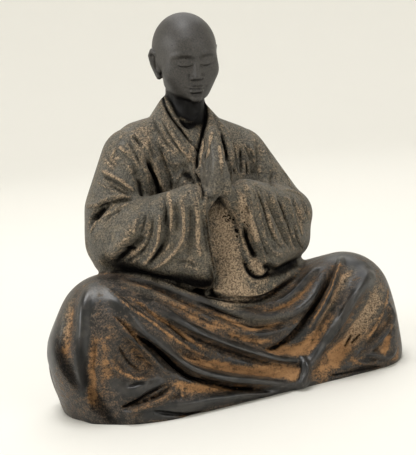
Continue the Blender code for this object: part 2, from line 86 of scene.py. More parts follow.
def stretched(*balls, steps=3):
    """A closed shell pulled tight over several balls, as cloth is over limbs."""
    shell = bmesh.new()
    for centre, radii in balls:
        for point in ball_points(centre, radii, steps):
            shell.verts.new(point)
    hull = bmesh.ops.convex_hull(shell, input=shell.verts)
    loose = {e for e in hull["geom_interior"] + hull["geom_unused"] if isinstance(e, bmesh.types.BMVert)}
    bmesh.ops.delete(shell, geom=list(loose), context="VERTS")
    mesh = bpy.data.meshes.new("shell")
    shell.to_mesh(mesh)
    shell.free()
    return mesh


def chain(*balls):
    """Shells stretched from each ball to the next, for a bent limb, a roll or a finger."""
    return [stretched(first, second) for first, second in zip(balls[:-1], balls[1:], strict=True)]


def shaped(mesh, *modifiers):
    """The mesh after some modifiers, each given as its name, its kind and its settings. The mesh is used up."""
    holder = bpy.data.objects.new("holder", mesh)
    bpy.context.scene.collection.objects.link(holder)
    for name, kind, settings in modifiers:
        modifier = holder.modifiers.new(name, kind)
        for setting, value in settings.items():
            setattr(modifier, setting, value)
    bpy.context.view_layer.update()
    graph = bpy.context.evaluated_depsgraph_get()
    result = bpy.data.meshes.new_from_object(holder.evaluated_get(graph))
    bpy.data.objects.remove(holder)
    bpy.data.meshes.remove(mesh)
    return result


def skin_of(meshes, grain, smoothing):
    """One closed skin round overlapping meshes, softened where they meet. The meshes are used up."""
    heap = bmesh.new()
    for mesh in meshes:
        heap.from_mesh(mesh)
        bpy.data.meshes.remove(mesh)
    joined = bpy.data.meshes.new("joined")
    heap.to_mesh(joined)
    heap.free()
    skin = ("Skin", "REMESH", {"mode": "VOXEL", "voxel_size": grain})
    soften = ("Soften", "SMOOTH", {"factor": 0.5, "iterations": smoothing})
    return shaped(joined, skin, soften)


def flowing(points, step=0.4):
    """A smooth line through a few points, given as closely spaced points."""
    knots = [Vector(p) for p in points]
    knots = [2 * knots[0] - knots[1], *knots, 2 * knots[-1] - knots[-2]]
    line = []
    for a, b, c, d in zip(knots, knots[1:], knots[2:], knots[3:], strict=False):
        pieces = max(2, int((c - b).length / step))
        for piece in range(pieces):
            t = piece / pieces
            square = (2 * a - 5 * b + 4 * c - d) * t**2
            cube = (3 * b - a - 3 * c + d) * t**3
            line.append((2 * b + (c - a) * t + square + cube) / 2)
    line.append(knots[-2])
    return line


def hem(*places):
    """Balls along the edge of the cloth on the ground."""
    return [((x, y, HEM_MIDDLE), HEM_RADII) for x, y in places]


def legs():
    front_right = hem((-39, -15.3), (-30, -21.3), (-15, -22.6), (3, -19.8))
    front_left = hem((-12, -21.5), (0, -20), (16, -16.6), (31, -18.2), (44, -16.5))
    edge = [(-42.5, -5), (-38, -15.5), (-27, -22), (-14, -22.6), (10, -18.4), (31, -18.2), (44, -16.5),
            (49.8, -8), (46, 6), (32, 17), (13, 22.5), (-8, 23), (-27, 18.5), (-39, 8), (-42.5, -5)]
    outline = hem(*[(spot.x, spot.y) for spot in flowing([(x, y, 0) for x, y in edge], step=3)])
    forms = [
        stretched(KNEE_R, CALF_R, ((-12, 10, 17), 12)),
        stretched(KNEE_L, CALF_L, ((12, 10, 14), 10)),
        stretched(KNEE_R, LAP),
        stretched(KNEE_L, LAP),
        stretched(((-14, 8, 14), 11), ((14, 8, 14), 11), ((0, -11, 14), 9)),
        stretched(((0, 11, 15), (25, 13, 15))),
        stretched(((-32, -9, 14), 11), ((0, -11, 12), 8.5), *front_right),
        stretched(((0, -11, 12), 8.5), ((37, -7, 12), 10), *front_left),
        stretched(CALF_L, *hem((31, -17.6), (44, -16.5), (47.8, -13.5), (49.8, -8), (49.6, -2), (48.5, 4))),
        stretched(CALF_R, *hem((-36, -16), (-39.5, -13), (-42, -9.5), (-43, -5.5), (-42.5, -1), (-41, 4))),
        stretched(*outline),
    ]
    return skin_of(forms, CLAY_GRAIN, 24)


def fold(points, width, rise, lean=0.0, groove=0.0, ends=(0.0, 0.0), blunt=2.0):
    """A stroke in the skin. It drops more steeply on the right of its run where it leans, with a groove there.

    Its points have three numbers, in carver's units, or two: a place in the picture, in its own pixels.
    """
    return {"points": points, "width": width, "rise": rise, "lean": lean, "groove": groove, "ends": ends,
            "blunt": blunt}


def fan(first, last, shares, **form):
    """Strokes spread between a first and a last one."""
    for share in shares:
        yield fold([Vector(a).lerp(Vector(b), share) for a, b in zip(first, last, strict=True)], **form)


# The robe's sweep over the lap, as the picture shows it: rolls, the ridges that hang from one knee to the other,
# the edge where the left thigh's cloth lies over them, and the hem. A run with a name is coloured as well.
RIGHT_THIGH_SEAM = [(102, 284), (112, 292), (122, 301), (135, 311), (150, 320), (160, 328), (180, 342), (195, 352),
                    (215, 360)]
LEFT_KNEE_SEAM = [(388, 285), (387, 300), (382, 315), (375, 328), (368, 338), (358, 345)]
HEM_CRACK = [(328, 376), (345, 373), (365, 369), (385, 366)]
LAP_NICKS = [(346, 344), (350, 337)], [(353, 341), (358, 336)]
LAP_FOLDS = [
    fold([(112, 273), (140, 279), (165, 287), (190, 297), (215, 306), (240, 314), (262, 318), (285, 316), (302, 308),
          (315, 295), (325, 277)], width=2.2, rise=1.7, lean=0.2, groove=0.5),
    fold([(262, 306), (280, 302), (293, 293), (305, 280), (318, 266)], width=1.5, rise=1.0),
    fold([(155, 309), (180, 323), (200, 333), (220, 341), (240, 348), (262, 355), (282, 360), (303, 362)],
         width=1.9, rise=2.4, lean=0.35, groove=0.5),
    fold([(302, 360), (303, 370), (299, 380)], width=1.2, rise=1.6, ends=(0.4, 0.4)),
    fold([(118, 309), (130, 322), (142, 333), (156, 342), (170, 353), (183, 364), (197, 372), (215, 377), (240, 381),
          (270, 383), (295, 382)], width=1.8, rise=2.7, lean=0.4, groove=0.9),
    fold([(108, 295), (125, 309), (140, 320), (158, 333), (172, 343), (190, 353)], width=2.0, rise=1.0),
    fold([(312, 382), (290, 386), (260, 391), (230, 396), (205, 400), (185, 404), (165, 404), (148, 409)],
         width=1.8, rise=1.3),
    fold([(177, 387), (165, 398), (152, 404), (138, 409), (122, 413)], width=1.4, rise=1.6, lean=0.3, groove=0.8),
    fold([(118, 394), (135, 389), (152, 385)], width=2.6, rise=0.8),
    fold([(103, 310), (115, 318), (125, 329), (138, 343), (150, 356), (162, 369), (176, 378)], width=1.5, rise=1.4),
    fold([(108, 350), (112, 362), (120, 372), (132, 378), (148, 380), (160, 377)], width=1.2, rise=1.2),
    fold([(130, 348), (143, 364)], width=3.5, rise=-1.2, ends=(0.5, 0.5)),
    fold([(333, 266), (328, 282), (320, 298), (312, 312), (305, 322), (297, 332), (288, 341), (275, 348), (262, 352)],
         width=1.3, rise=-2.1),
    fold([(341, 256), (337, 270), (333, 283), (328, 295), (321, 308), (313, 322), (306, 333)],
         width=1.6, rise=2.0, lean=0.5, blunt=1.4),
    fold([(370, 278), (358, 290), (348, 304), (338, 320), (327, 336), (316, 352), (306, 368), (302, 380)],
         width=2.8, rise=2.4, ends=(0.2, 0.5)),
    fold([(368, 270), (357, 284), (347, 299), (337, 315)], width=3.2, rise=0.9, ends=(0.3, 0.7)),
    fold([(344, 284), (338, 296), (330, 310), (322, 325), (314, 338)], width=1.2, rise=-0.9, ends=(0.4, 0.2)),
    fold([(380, 292), (372, 307), (361, 324), (349, 340), (337, 354), (327, 367)], width=3.2, rise=-1.7),
    fold([(394, 300), (392, 318), (384, 333), (374, 345), (364, 353)], width=1.4, rise=1.4),
    fold([(364, 354), (375, 355), (387, 358), (395, 350)], width=1.1, rise=1.2, ends=(0.4, 0.2)),
    fold([(392, 330), (386, 345)], width=1.6, rise=-1.0, ends=(0.5, 0.5)),
    fold(HEM_CRACK, width=0.8, rise=-1.2),
    fold([(270, 353), (290, 350), (308, 343)], width=2.2, rise=-1.0),
    fold([(215, 313), (232, 321), (250, 327), (268, 326), (285, 320)], width=1.4, rise=-0.8),
    fold([(228, 327), (246, 333), (265, 334), (283, 328), (297, 317)], width=1.2, rise=0.7),
    fold([(225, 335), (245, 340), (262, 342)], width=1.2, rise=-0.7),
    fold([(180, 356), (200, 362), (225, 367), (255, 372), (292, 374)], width=1.8, rise=-1.2),
    fold([(178, 386), (200, 388), (228, 389), (255, 385)], width=1.8, rise=-1.2),
]
UNDER_SLEEVES = [
    fold([(110, 271), (130, 274), (150, 278), (170, 283), (190, 289), (212, 295), (235, 300), (256, 301), (272, 295),
          (288, 283), (302, 269)], width=1.5, rise=-2.0),
]
KNEE_FOLDS = [
    fold([(92, 283), (85, 300), (83, 325), (82, 350), (82, 375), (87, 398)], width=2.4, rise=1.1),
    fold([(97, 330), (94, 350), (91, 372), (92, 395), (98, 410)], width=2.2, rise=-1.0),
    fold([(73, 296), (69, 315), (67, 335), (66, 358)], width=2.2, rise=-1.0),
]
LAP_CREASES = [
    fold([(165, 314), (185, 326), (205, 335), (225, 343), (245, 350), (265, 356), (285, 361), (300, 363)],
         width=0.7, rise=0.4),
    fold([(160, 345), (175, 357), (190, 368), (205, 374), (220, 378), (245, 382), (275, 384)], width=0.6, rise=0.45),
    fold([(367, 281), (354, 295), (343, 310), (333, 326), (322, 342), (311, 357)], width=0.8, rise=0.35),
    fold([(302, 362), (303, 371), (300, 379)], width=0.6, rise=0.4, ends=(0.4, 0.4)),
    fold([(120, 276), (145, 281), (170, 290), (195, 300), (220, 308), (245, 315)], width=0.6, rise=0.3),
    fold([(126, 386), (138, 384), (150, 380)], width=0.7, rise=-0.5),
    fold([(150, 300), (165, 307), (178, 316), (192, 325)], width=0.6, rise=0.3),
    fold([(205, 312), (222, 320), (240, 326), (258, 330), (275, 327)], width=0.6, rise=0.3),
    fold(RIGHT_THIGH_SEAM, width=0.9, rise=0.62, blunt=1.4),
    fold([(130, 297), (142, 305), (155, 316), (170, 325), (185, 337), (200, 346)], width=0.8, rise=-0.75),
    fold([(142, 337), (155, 348), (165, 358), (174, 368), (190, 377), (208, 382)], width=0.9, rise=-1.00),
    fold([(170, 383), (160, 388), (150, 393), (135, 402), (120, 408)], width=0.7, rise=-0.88),
    fold([(152, 411), (170, 414), (190, 415), (207, 411)], width=0.8, rise=-0.88),
    fold([(186, 359), (200, 363), (216, 368)], width=0.7, rise=0.50),
    fold([(182, 384), (183, 400)], width=0.7, rise=0.50),
    fold(LEFT_KNEE_SEAM, width=0.8, rise=0.62, blunt=1.5),
    fold([(330, 373), (350, 371), (375, 367)], width=0.7, rise=0.62),
    fold([(358, 362), (370, 364), (379, 362)], width=0.7, rise=0.62),
    fold([(322, 268), (313, 280), (305, 290), (295, 300), (280, 308), (262, 311)], width=0.8, rise=-0.62),
    fold([(196, 302), (210, 308), (225, 315), (245, 321)], width=0.7, rise=-0.75),
    fold([(150, 296), (170, 303), (190, 312), (210, 322), (230, 330)], width=1.0, rise=-0.50),
    fold([(110, 312), (122, 322), (134, 336), (144, 350)], width=0.7, rise=-0.62),
    *[fold(nick, width=0.5, rise=-0.6, ends=(0.5, 0.5)) for nick in LAP_NICKS],
    fold([(100, 340), (97, 360), (97, 380)], width=0.7, rise=0.50),
    fold([(118, 345), (128, 360), (142, 372)], width=0.8, rise=-0.50),
    fold([(275, 345), (292, 345), (308, 335)], width=0.8, rise=0.38),
    fold([(345, 303), (338, 317), (330, 330)], width=0.8, rise=-0.38),
]


# The robe on the body: one garment from the shoulders to the lap, bloused over the belt at the back. It is modelled
# as the lap is, with the fall of cloth between the sleeves, which spreads out on the lap.
def torso():
    forms = [
        stretched(((0, 7, 26), (18, 12, 10)), ((-1, 5, 50), (17, 12, 12))),
        stretched(((-17, 4, 63.3), (8, 8, 8)), ((12, 4, 60.3), (7.5, 8, 7.5)), ((-1.5, 4, 50), (17, 12, 10))),
        stretched(((-3, 4, 71), (7.5, 7, 3.5)), ((-15.8, 4, 66.1), 6.5), ((11.5, 4, 62.8), 6)),
        stretched(((-1.5, -5, 56), (8, 7, 6)), ((1, -4.5, 28), (9.5, 10, 6))),
        stretched(((-19, 5.5, 61), 7.5), ((12.5, 5.5, 59), 7.5), ((-25, 4, 42), 6), ((23, 4, 42), 6),
                  ((-20, 9, 26), 7), ((20, 9, 26), 7), ((0, 9, 45), (14, 9, 14))),
        stretched(((-1.5, 8, 73), (4, 4, 3)), ((-12, 7.5, 65), 5), ((8, 7.5, 64), 5), ((-1, 9, 50), (12, 8, 8))),
        stretched(((0.5, -10.5, 50), (3, 3.5, 3)), ((3, -11, 40), (4.5, 4.5, 3))),
        stretched(((3, -11, 40), (4.5, 4.5, 3)), ((4.5, -12.5, 30), (7.5, 5.5, 4))),
        stretched(((4.5, -12.5, 30), (7.5, 5.5, 4)), ((4, -12, 25), (12.5, 6, 3)), ((17, -8, 27), (6, 6, 3))),
        stretched(((17, -8, 27), (6, 6, 3)), ((22, 0, 28), (6, 6, 4))),
    ]
    return skin_of(forms, CLAY_GRAIN, 12)


CHEST_FOLDS = [
    fold([(122, 150), (130, 160), (136, 172), (142, 193)], width=1.1, rise=-1.3, ends=(0, 1)),
    fold([(146, 158), (151, 169), (156, 182), (158, 192)], width=1.1, rise=-1.6, ends=(0, 1)),
    fold([(158, 145), (163, 158), (168, 173), (171, 186)], width=1.0, rise=-1.1, ends=(0, 1)),
    fold([(139, 148), (145, 163), (150, 183)], width=1.2, rise=0.7),
    fold([(153, 158), (158, 173), (164, 188)], width=1.1, rise=0.8, ends=(0, 0.6)),
    fold([(101, 170), (108, 174), (118, 179), (128, 186), (136, 193)], width=0.9, rise=1.1, lean=0.2, groove=0.8),
    fold([(117, 143), (125, 152), (131, 162), (136, 174)], width=1.1, rise=0.7),
    fold([(184, 167), (180, 176), (175, 185)], width=0.8, rise=0.8),
    fold([(186, 170), (191, 179)], width=2.2, rise=-1.4, ends=(0.4, 0.6)),
    fold([(221, 131), (226, 146), (229, 162), (232, 177)], width=0.9, rise=-1.1),
    fold([(226, 129), (233, 143), (237, 158), (240, 175)], width=0.9, rise=-1.1),
    fold([(240, 147), (241, 160), (241, 175)], width=0.8, rise=-1.2),
    fold([(244, 144), (250, 156), (252, 168), (252, 177)], width=0.9, rise=-1.0),
    fold([(256, 141), (258, 155), (256, 168), (253, 178)], width=1.0, rise=-1.1),
    fold([(224, 133), (230, 150), (234, 170)], width=0.8, rise=0.6),
    fold([(246, 143), (254, 155), (256, 165)], width=0.8, rise=0.6),
    fold([(272, 163), (273, 175), (271, 186)], width=0.9, rise=-0.8),
]
CHEST_CREASES = [
    fold([(122, 134), (118, 144), (112, 156), (107, 166)], width=0.7, rise=0.35),
    fold([(137, 146), (141, 160), (147, 176), (151, 190)], width=0.6, rise=0.4),
    fold([(143, 140), (149, 155), (155, 170), (162, 188)], width=0.5, rise=0.35),
    fold([(162, 148), (166, 160), (171, 172), (175, 184)], width=0.5, rise=0.35),
    fold([(96, 180), (104, 186), (114, 192), (126, 197)], width=0.6, rise=0.35),
    fold([(262, 140), (268, 152), (272, 163)], width=0.6, rise=-0.4),
    fold([(280, 168), (288, 178), (297, 186)], width=0.6, rise=0.35),
    fold([(136, 138), (140, 143)], width=0.8, rise=-1.12, ends=(0.5, 0.5)),
    fold([(128, 140), (134, 152), (141, 166)], width=0.7, rise=-0.50),
    fold([(149, 140), (151, 150), (155, 158)], width=0.7, rise=-0.50),
    fold([(231, 146), (235, 162), (237, 176)], width=0.6, rise=-0.75),
    fold([(236, 150), (238, 165), (239, 176)], width=0.5, rise=0.38),
    fold([(246, 160), (247, 170), (247, 177)], width=0.6, rise=-0.50),
    fold([(108, 184), (120, 190), (131, 196)], width=0.7, rise=-0.62),
    fold([(104, 152), (110, 162), (118, 170)], width=0.9, rise=-0.38),
    fold([(288, 184), (292, 188), (297, 190)], width=0.7, rise=-0.62),
]
BACK_FOLDS = [
    *fan([(-17, 12, 62), (-20, 14, 50), (-21, 15, 38)], [(12, 12, 60), (16, 14, 49), (18, 15, 37)],
         (0.0, 0.26, 0.5, 0.74, 1.0), width=2.6, rise=1.0),
    fold([(-26, 9, 36), (-12, 17, 30), (0, 18, 28.5), (12, 17, 30), (25, 9, 35)], width=1.8, rise=-1.4,
         ends=(0.3, 0.3)),
    *fan([(-19, 15, 28), (-29, 17, 19), (-38, 12, 6)], [(18, 15, 28), (31, 16, 19), (42, 12, 6)],
         (0.0, 0.15, 0.3, 0.42, 0.55, 0.68, 0.84, 1.0), width=2.4, rise=1.2),
    *fan([(-30, 5, 56), (-32, 6, 46), (-30, 7, 37)], [(-22, 10, 58), (-26, 10, 46), (-26, 9, 36)],
         (0.2, 0.8), width=1.8, rise=0.9),
    *fan([(25, 5, 54), (30, 6, 45), (29, 7, 36)], [(18, 10, 56), (23, 10, 46), (24, 9, 36)],
         (0.2, 0.8), width=1.8, rise=0.9),
]
SIDE_FOLDS = [
    *fan([(-36, -3, 34), (-43, -4, 20), (-44, -5, 4)], [(-26, 12, 28), (-36, 13, 18), (-40, 9, 4)],
         (0.1, 0.45, 0.8), width=2.2, rise=1.1),
    *fan([(41, -4, 30), (49, -5, 17), (50, -4, 4)], [(27, 13, 26), (38, 13, 16), (43, 9, 4)],
         (0.1, 0.45, 0.8), width=2.2, rise=1.1),
]


# The collar: the under-robe's V at the neck, and over it the outer robe's lapels, two long bands sewn on flat.
# They come round the neck, cross on the chest and go down behind the hands.
LAPEL_GRAIN = 0.5


def lapels():
    nape = (-1.5, 10, 77)
    inner_r = [nape, (-6.6, 6.5, 77.4), (-7.8, 1.5, 76), (-7.5, -2, 72), (-5.6, -5.4, 67), (-3, -7.4, 62)]
    inner_l = [nape, (1.8, 6.5, 76.6), (2.0, 1.5, 75.2), (2.6, -2, 71.5), (1.3, -5.4, 67), (-2, -7.6, 62)]
    back = (-1.5, 12.5, 71)
    outer_r = [back, (-9.6, 9.5, 72), (-12.2, 2, 71), (-11.6, -2.5, 67), (-9, -5.4, 61.5), (-5.5, -7.2, 58)]
    outer_l = [back, (4.4, 9.5, 71), (5.6, 2, 70.3), (6.8, -3, 66.5), (6.3, -6, 61), (3.5, -7.6, 57)]
    forms = []
    for inner, outer in ((inner_r, outer_r), (inner_l, outer_l)):
        for place in range(len(inner) - 1):
            edge = [(inner[place], 1.0), (inner[place + 1], 1.0)]
            foot = [(outer[place], 1.4), (outer[place + 1], 1.4)]
            forms.append(stretched(*edge, *foot))
    forms.append(stretched(((-2.2, 4.5, 75), (5, 5, 2)), ((-2.2, 0.2, 68), (5.6, 5, 3)),
                           ((-2.5, -3.6, 61), (5, 4, 3))))
    return skin_of(forms, LAPEL_GRAIN, 3)


RIGHT_LAPEL_EDGE = [(163, 99), (166, 108), (170, 116), (176, 124), (183, 133), (190, 142), (196, 148)]
LAPEL_FOLDS = [
    fold([(193, 161), (186, 152), (177, 139), (168, 125), (161, 110)], width=2.0, rise=0.6, lean=0.35, groove=0.6),
    fold(RIGHT_LAPEL_EDGE, width=0.9, rise=-0.8, ends=(0.3, 0.3)),
    fold([(205, 104), (206, 112), (206, 119), (204, 128), (201, 138), (198, 150), (197, 163)], width=0.9, rise=-0.9,
         ends=(0.3, 0.3)),
    fold([(213, 114), (217, 121), (219, 128)], width=0.7, rise=-0.7, ends=(0.2, 0.5)),
    fold([(209, 110), (211, 121), (208, 136), (204, 152)], width=1.3, rise=0.5),
]
LAPEL_CREASES = [
    fold(RIGHT_LAPEL_EDGE, width=0.55, rise=-0.9, ends=(0.3, 0.3)),
    fold([(205, 104), (206, 112), (206, 119), (204, 128), (201, 138), (198, 150), (197, 163), (198, 180), (203, 197)],
         width=0.6, rise=-1.0, ends=(0.3, 0.3)),
    fold([(203, 130), (204, 145), (202, 165), (203, 182)], width=0.5, rise=-0.45),
    fold([(210, 128), (209, 145), (207, 165), (206, 185)], width=0.6, rise=0.4),
    fold([(220, 128), (223, 145), (226, 162), (229, 178)], width=0.6, rise=-0.7),
    fold([(224, 132), (228, 148), (231, 165), (233, 178)], width=0.7, rise=0.4),
    fold([(160, 118), (166, 130), (175, 144), (186, 158)], width=0.6, rise=-0.6),
    fold([(169, 121), (177, 134), (185, 147)], width=0.6, rise=-0.4),
    fold([(165, 121), (172, 135), (181, 149), (189, 159)], width=0.6, rise=0.3),
    fold([(180, 116), (185, 121), (190, 124), (195, 119), (200, 112)], width=0.6, rise=0.6),
    fold([(179, 119), (184, 125), (189, 129), (195, 125)], width=0.8, rise=-0.5),
    fold([(152, 118), (158, 130), (166, 143), (174, 153)], width=0.8, rise=-0.6),
    fold([(182, 137), (188, 143), (194, 148)], width=0.5, rise=0.3),
]


# The sleeves: wide bags of cloth that hang from the forearms, open at the cuffs beside the hands. Their folds fan
# out from the crook of each elbow and from the cuffs.
def sleeve_r():
    forms = [
        stretched(((-18, 3, 62.8), 8.5), ((-24.3, 1.5, 50), 8.4), ((-26, 0, 42), 7.8)),
        stretched(((-25.5, -2, 42), 7.5), ((-9, -17, 52.5), 4.5)),
        stretched(((-25.4, -2, 39.6), 7.6), ((-26.4, -1, 44), 7.2), ((-9.5, -16.5, 52), 4.5), ((-7, -15, 32), 3.2),
                  ((-20, -8, 38), 4), ((-24.2, -3, 34.6), 5.4)),
    ]
    return skin_of(forms, CLAY_GRAIN, 6)


def sleeve_l():
    forms = [
        stretched(((12.3, 4, 60.3), 7.8), ((18.5, 3, 50.5), 7.2), ((23.8, 2, 42.5), 7.2)),
        stretched(((23.5, -1, 43), 7.2), ((5.5, -16.5, 52), 4.5)),
        stretched(((23.4, 0, 36.2), 6.6), ((24, 1, 42), 7), ((5.5, -16, 51), 4.5), ((12.5, -14, 34.3), 3.2)),
        stretched(((2.5, -16.5, 53), 2), ((7.5, -15.2, 33.5), 1.9)),
    ]
    return skin_of(forms, CLAY_GRAIN, 6)


SLEEVE_FOLDS = [
    fold([(138, 214), (132, 230), (121, 246), (107, 260)], width=2.6, rise=1.4),
    fold([(146, 235), (136, 243), (125, 253), (114, 263)], width=1.4, rise=-1.8),
    fold([(92, 222), (98, 214), (105, 207)], width=1.3, rise=-2.2, ends=(0.4, 0.5)),
    fold([(86, 207), (96, 206), (106, 200), (120, 196), (134, 197)], width=1.2, rise=1.2),
    fold([(160, 212), (159, 230), (157, 245), (150, 258), (140, 267)], width=0.95, rise=1.1, lean=0.2),
    fold([(147, 264), (158, 252), (165, 240), (167, 222), (165, 205)], width=1.5, rise=-1.3),
    fold([(168, 192), (171, 205), (171, 220), (169, 235)], width=0.8, rise=0.9),
    fold([(182, 194), (184, 213), (184, 232), (180, 245), (172, 255), (160, 265), (148, 271)], width=0.95, rise=1.15),
    fold([(176, 200), (177, 218), (176, 236)], width=1.1, rise=-0.8),
    fold([(196, 198), (198, 218), (198, 240), (200, 258)], width=1.1, rise=0.8),
    fold([(190, 198), (191, 220), (190, 245), (184, 262)], width=1.3, rise=-0.8),
    fold([(199, 184), (203, 202), (205, 222), (208, 243), (211, 262), (214, 282)], width=1.1, rise=1.0, lean=0.3),
    fold([(241, 181), (247, 189), (250, 200), (250, 212), (252, 226), (257, 241), (263, 255), (267, 266)],
         width=1.1, rise=1.2),
    fold([(252, 184), (261, 199), (265, 215), (270, 235), (277, 252)], width=1.1, rise=-1.2),
    fold([(263, 190), (270, 204), (277, 220), (285, 238), (292, 251)], width=1.1, rise=-1.2),
    fold([(275, 193), (282, 208), (287, 222), (292, 238), (299, 251)], width=1.1, rise=-1.2),
    fold([(289, 195), (297, 210), (303, 224)], width=1.0, rise=-1.0),
    fold([(299, 197), (305, 208), (308, 217)], width=0.8, rise=-0.9),
    fold([(257, 188), (265, 205), (270, 222), (278, 242)], width=1.1, rise=0.7),
    fold([(269, 192), (277, 209), (283, 226), (290, 242)], width=1.1, rise=0.7),
    fold([(282, 193), (290, 209), (294, 224), (299, 240)], width=1.1, rise=0.7),
    fold([(262, 230), (266, 244), (274, 253), (283, 255)], width=1.0, rise=1.0),
    fold([(244, 228), (247, 241), (252, 254)], width=1.2, rise=-2.1, ends=(0.3, 0.5)),
    fold([(255, 262), (259, 269)], width=1.9, rise=1.0, ends=(0.5, 0.5)),
]
CUFF_HOOK = [(244, 262), (248, 272), (256, 278), (266, 276), (271, 268)]
SLEEVE_CREASES = [
    fold([(150, 200), (149, 215), (144, 232), (134, 247)], width=0.7, rise=0.35),
    fold([(187, 205), (188, 222), (186, 240), (178, 256)], width=0.6, rise=0.4),
    fold([(257, 195), (262, 212), (267, 230), (272, 246)], width=0.6, rise=0.4),
    fold([(276, 200), (282, 216), (287, 232), (294, 246)], width=0.6, rise=0.4),
    fold([(246, 184), (250, 196), (252, 212)], width=0.5, rise=0.5),
    fold([(252, 214), (256, 230), (261, 246), (266, 262)], width=0.6, rise=0.5),
    fold([(288, 200), (295, 212), (300, 226), (303, 238)], width=0.6, rise=0.35),
    fold([(95, 210), (108, 204), (122, 200), (134, 200)], width=0.7, rise=-0.75),
    fold([(110, 216), (118, 208), (132, 203)], width=0.8, rise=0.50),
    fold([(90, 234), (95, 226), (99, 218)], width=0.7, rise=0.62),
    fold([(104, 222), (112, 214), (122, 209)], width=0.8, rise=-0.50),
    fold([(140, 210), (137, 222), (133, 236)], width=0.6, rise=0.50),
    fold([(146, 212), (144, 226), (140, 238)], width=0.8, rise=-0.50),
    fold([(153, 215), (152, 230), (147, 245), (138, 257)], width=0.7, rise=-0.62),
    fold([(126, 262), (137, 256), (146, 248)], width=0.8, rise=-0.62),
    fold([(122, 250), (131, 247), (139, 250)], width=0.8, rise=-0.50),
    fold([(163, 195), (166, 208), (166, 225)], width=0.6, rise=-0.62),
    fold([(188, 192), (189, 200)], width=0.5, rise=-0.38),
    fold([(203, 215), (205, 235), (208, 255)], width=0.6, rise=-0.38),
    fold([(176, 262), (188, 262), (198, 268)], width=0.8, rise=-0.50),
    fold([(257, 186), (263, 195), (266, 204)], width=0.6, rise=-0.50),
    fold([(268, 226), (274, 240), (284, 249)], width=0.6, rise=-0.50),
    fold([(294, 226), (298, 240), (303, 250)], width=0.6, rise=-0.62),
    fold([(280, 196), (288, 199), (296, 204)], width=0.6, rise=0.38),
    fold(CUFF_HOOK, width=0.8, rise=-1.12),
    fold([(283, 190), (291, 191), (299, 194), (305, 200)], width=0.7, rise=0.50),
]

# The joined hands: palms together in front of the chest, fingers up, the thumbs on the chest's side.
# Each finger has how far forward it stands at the knuckle and at the tip, the height of its tip, its thickness.
FINGERS = ((-20.4, -18.4, 65.8, 0.85), (-18.8, -17.8, 68.7, 0.95), (-17.0, -17.0, 70.4, 1.0),
           (-15.2, -16.2, 69, 0.95))
PALMS_MIDDLE = -2.0
HAND_GRAIN = 0.3


def hands():
    forms = []
    for side in (-1, 1):
        knuckle_x = PALMS_MIDDLE + side * 1.1
        wrist_x = PALMS_MIDDLE + side * 1.7
        forms.append(stretched(((knuckle_x, -20.2, 60.5), 1.0), ((knuckle_x, -14.8, 60.5), 1.1),
                               ((wrist_x, -19.7, 54.2), 1.5), ((wrist_x, -14.2, 54.2), 1.6)))
        forms.append(stretched(((wrist_x, -19.4, 54.2), 1.6), ((wrist_x, -14.6, 54.2), 1.6),
                               ((wrist_x + side * 3, -15.5, 50), 2.2)))
        for knuckle_y, tip_y, tip_z, thick in FINGERS:
            forms.append(stretched(((knuckle_x, knuckle_y, 61), thick),
                                   ((PALMS_MIDDLE + 0.3 + side * 0.55, tip_y, tip_z), thick * 0.62)))
        forms += chain(((wrist_x, -13.6, 56), 1.3), ((knuckle_x + side * 0.4, -12.4, 60), 1.0),
                       ((knuckle_x, -12.8, 63.6), 0.75))
    return skin_of(forms, HAND_GRAIN, 2)


HAND_CREASES = []
for side in (-1, 1):
    for (near_y, near_tip, near_z, _), (far_y, far_tip, far_z, _) in zip(FINGERS, FINGERS[1:], strict=False):
        knuckle = (PALMS_MIDDLE + side * 2.4, (near_y + far_y) / 2, 60)
        tip = (PALMS_MIDDLE + side * 1.4, (near_tip + far_tip) / 2, min(near_z, far_z))
        HAND_CREASES.append(fold([knuckle, tip], width=0.5, rise=-0.35, ends=(0.2, 0.6)))


# The head: shaven and bowed, with lowered lids and long-lobed ears. It is made upright about its own middle.
# The features follow the usual canon: eyes half way up, and brow, nose and chin a third of the face apart.
HEAD_MIDDLE = Vector((-0.9, 2.3, 87.9))
HEAD_BOW = radians(11)
BROW, EYES, NOSE_FOOT, MOUTH, CHIN = 2.0, 0.1, -4.6, -6.8, -11.2
EYE_OUT = 3.05
SKULL_GRAIN = 0.5
FACE_GRAIN = 0.2


def ear(side):
    """An ear with a rolled rim, from the brow to the foot of the nose."""
    rim = [(7.6, 0.2, 0.3), (8.2, 0.4, 1.7), (8.8, 1.9, 2.2), (9.0, 3.1, 0.7), (8.6, 2.6, -1.6), (7.9, 1.3, -3.7),
           (7.5, 0.6, -4.6)]
    thick = (0.5, 0.6, 0.65, 0.65, 0.62, 0.7, 0.8)
    balls = [((side * x, y, z), r) for (x, y, z), r in zip(rim, thick, strict=True)]
    bowl = stretched(((side * 7.5, 1.7, 0.1), (0.8, 1.5, 2)), ((side * 7.2, 1.1, -2.8), (0.7, 0.8, 1)))
    inner = chain(((side * 7.9, 0.9, 1.1), 0.4), ((side * 8.3, 2.1, 0.9), 0.42), ((side * 8.1, 2.1, -1.1), 0.42),
                  ((side * 7.7, 1.2, -2.4), 0.4))
    return [*chain(*balls), bowl, *inner]


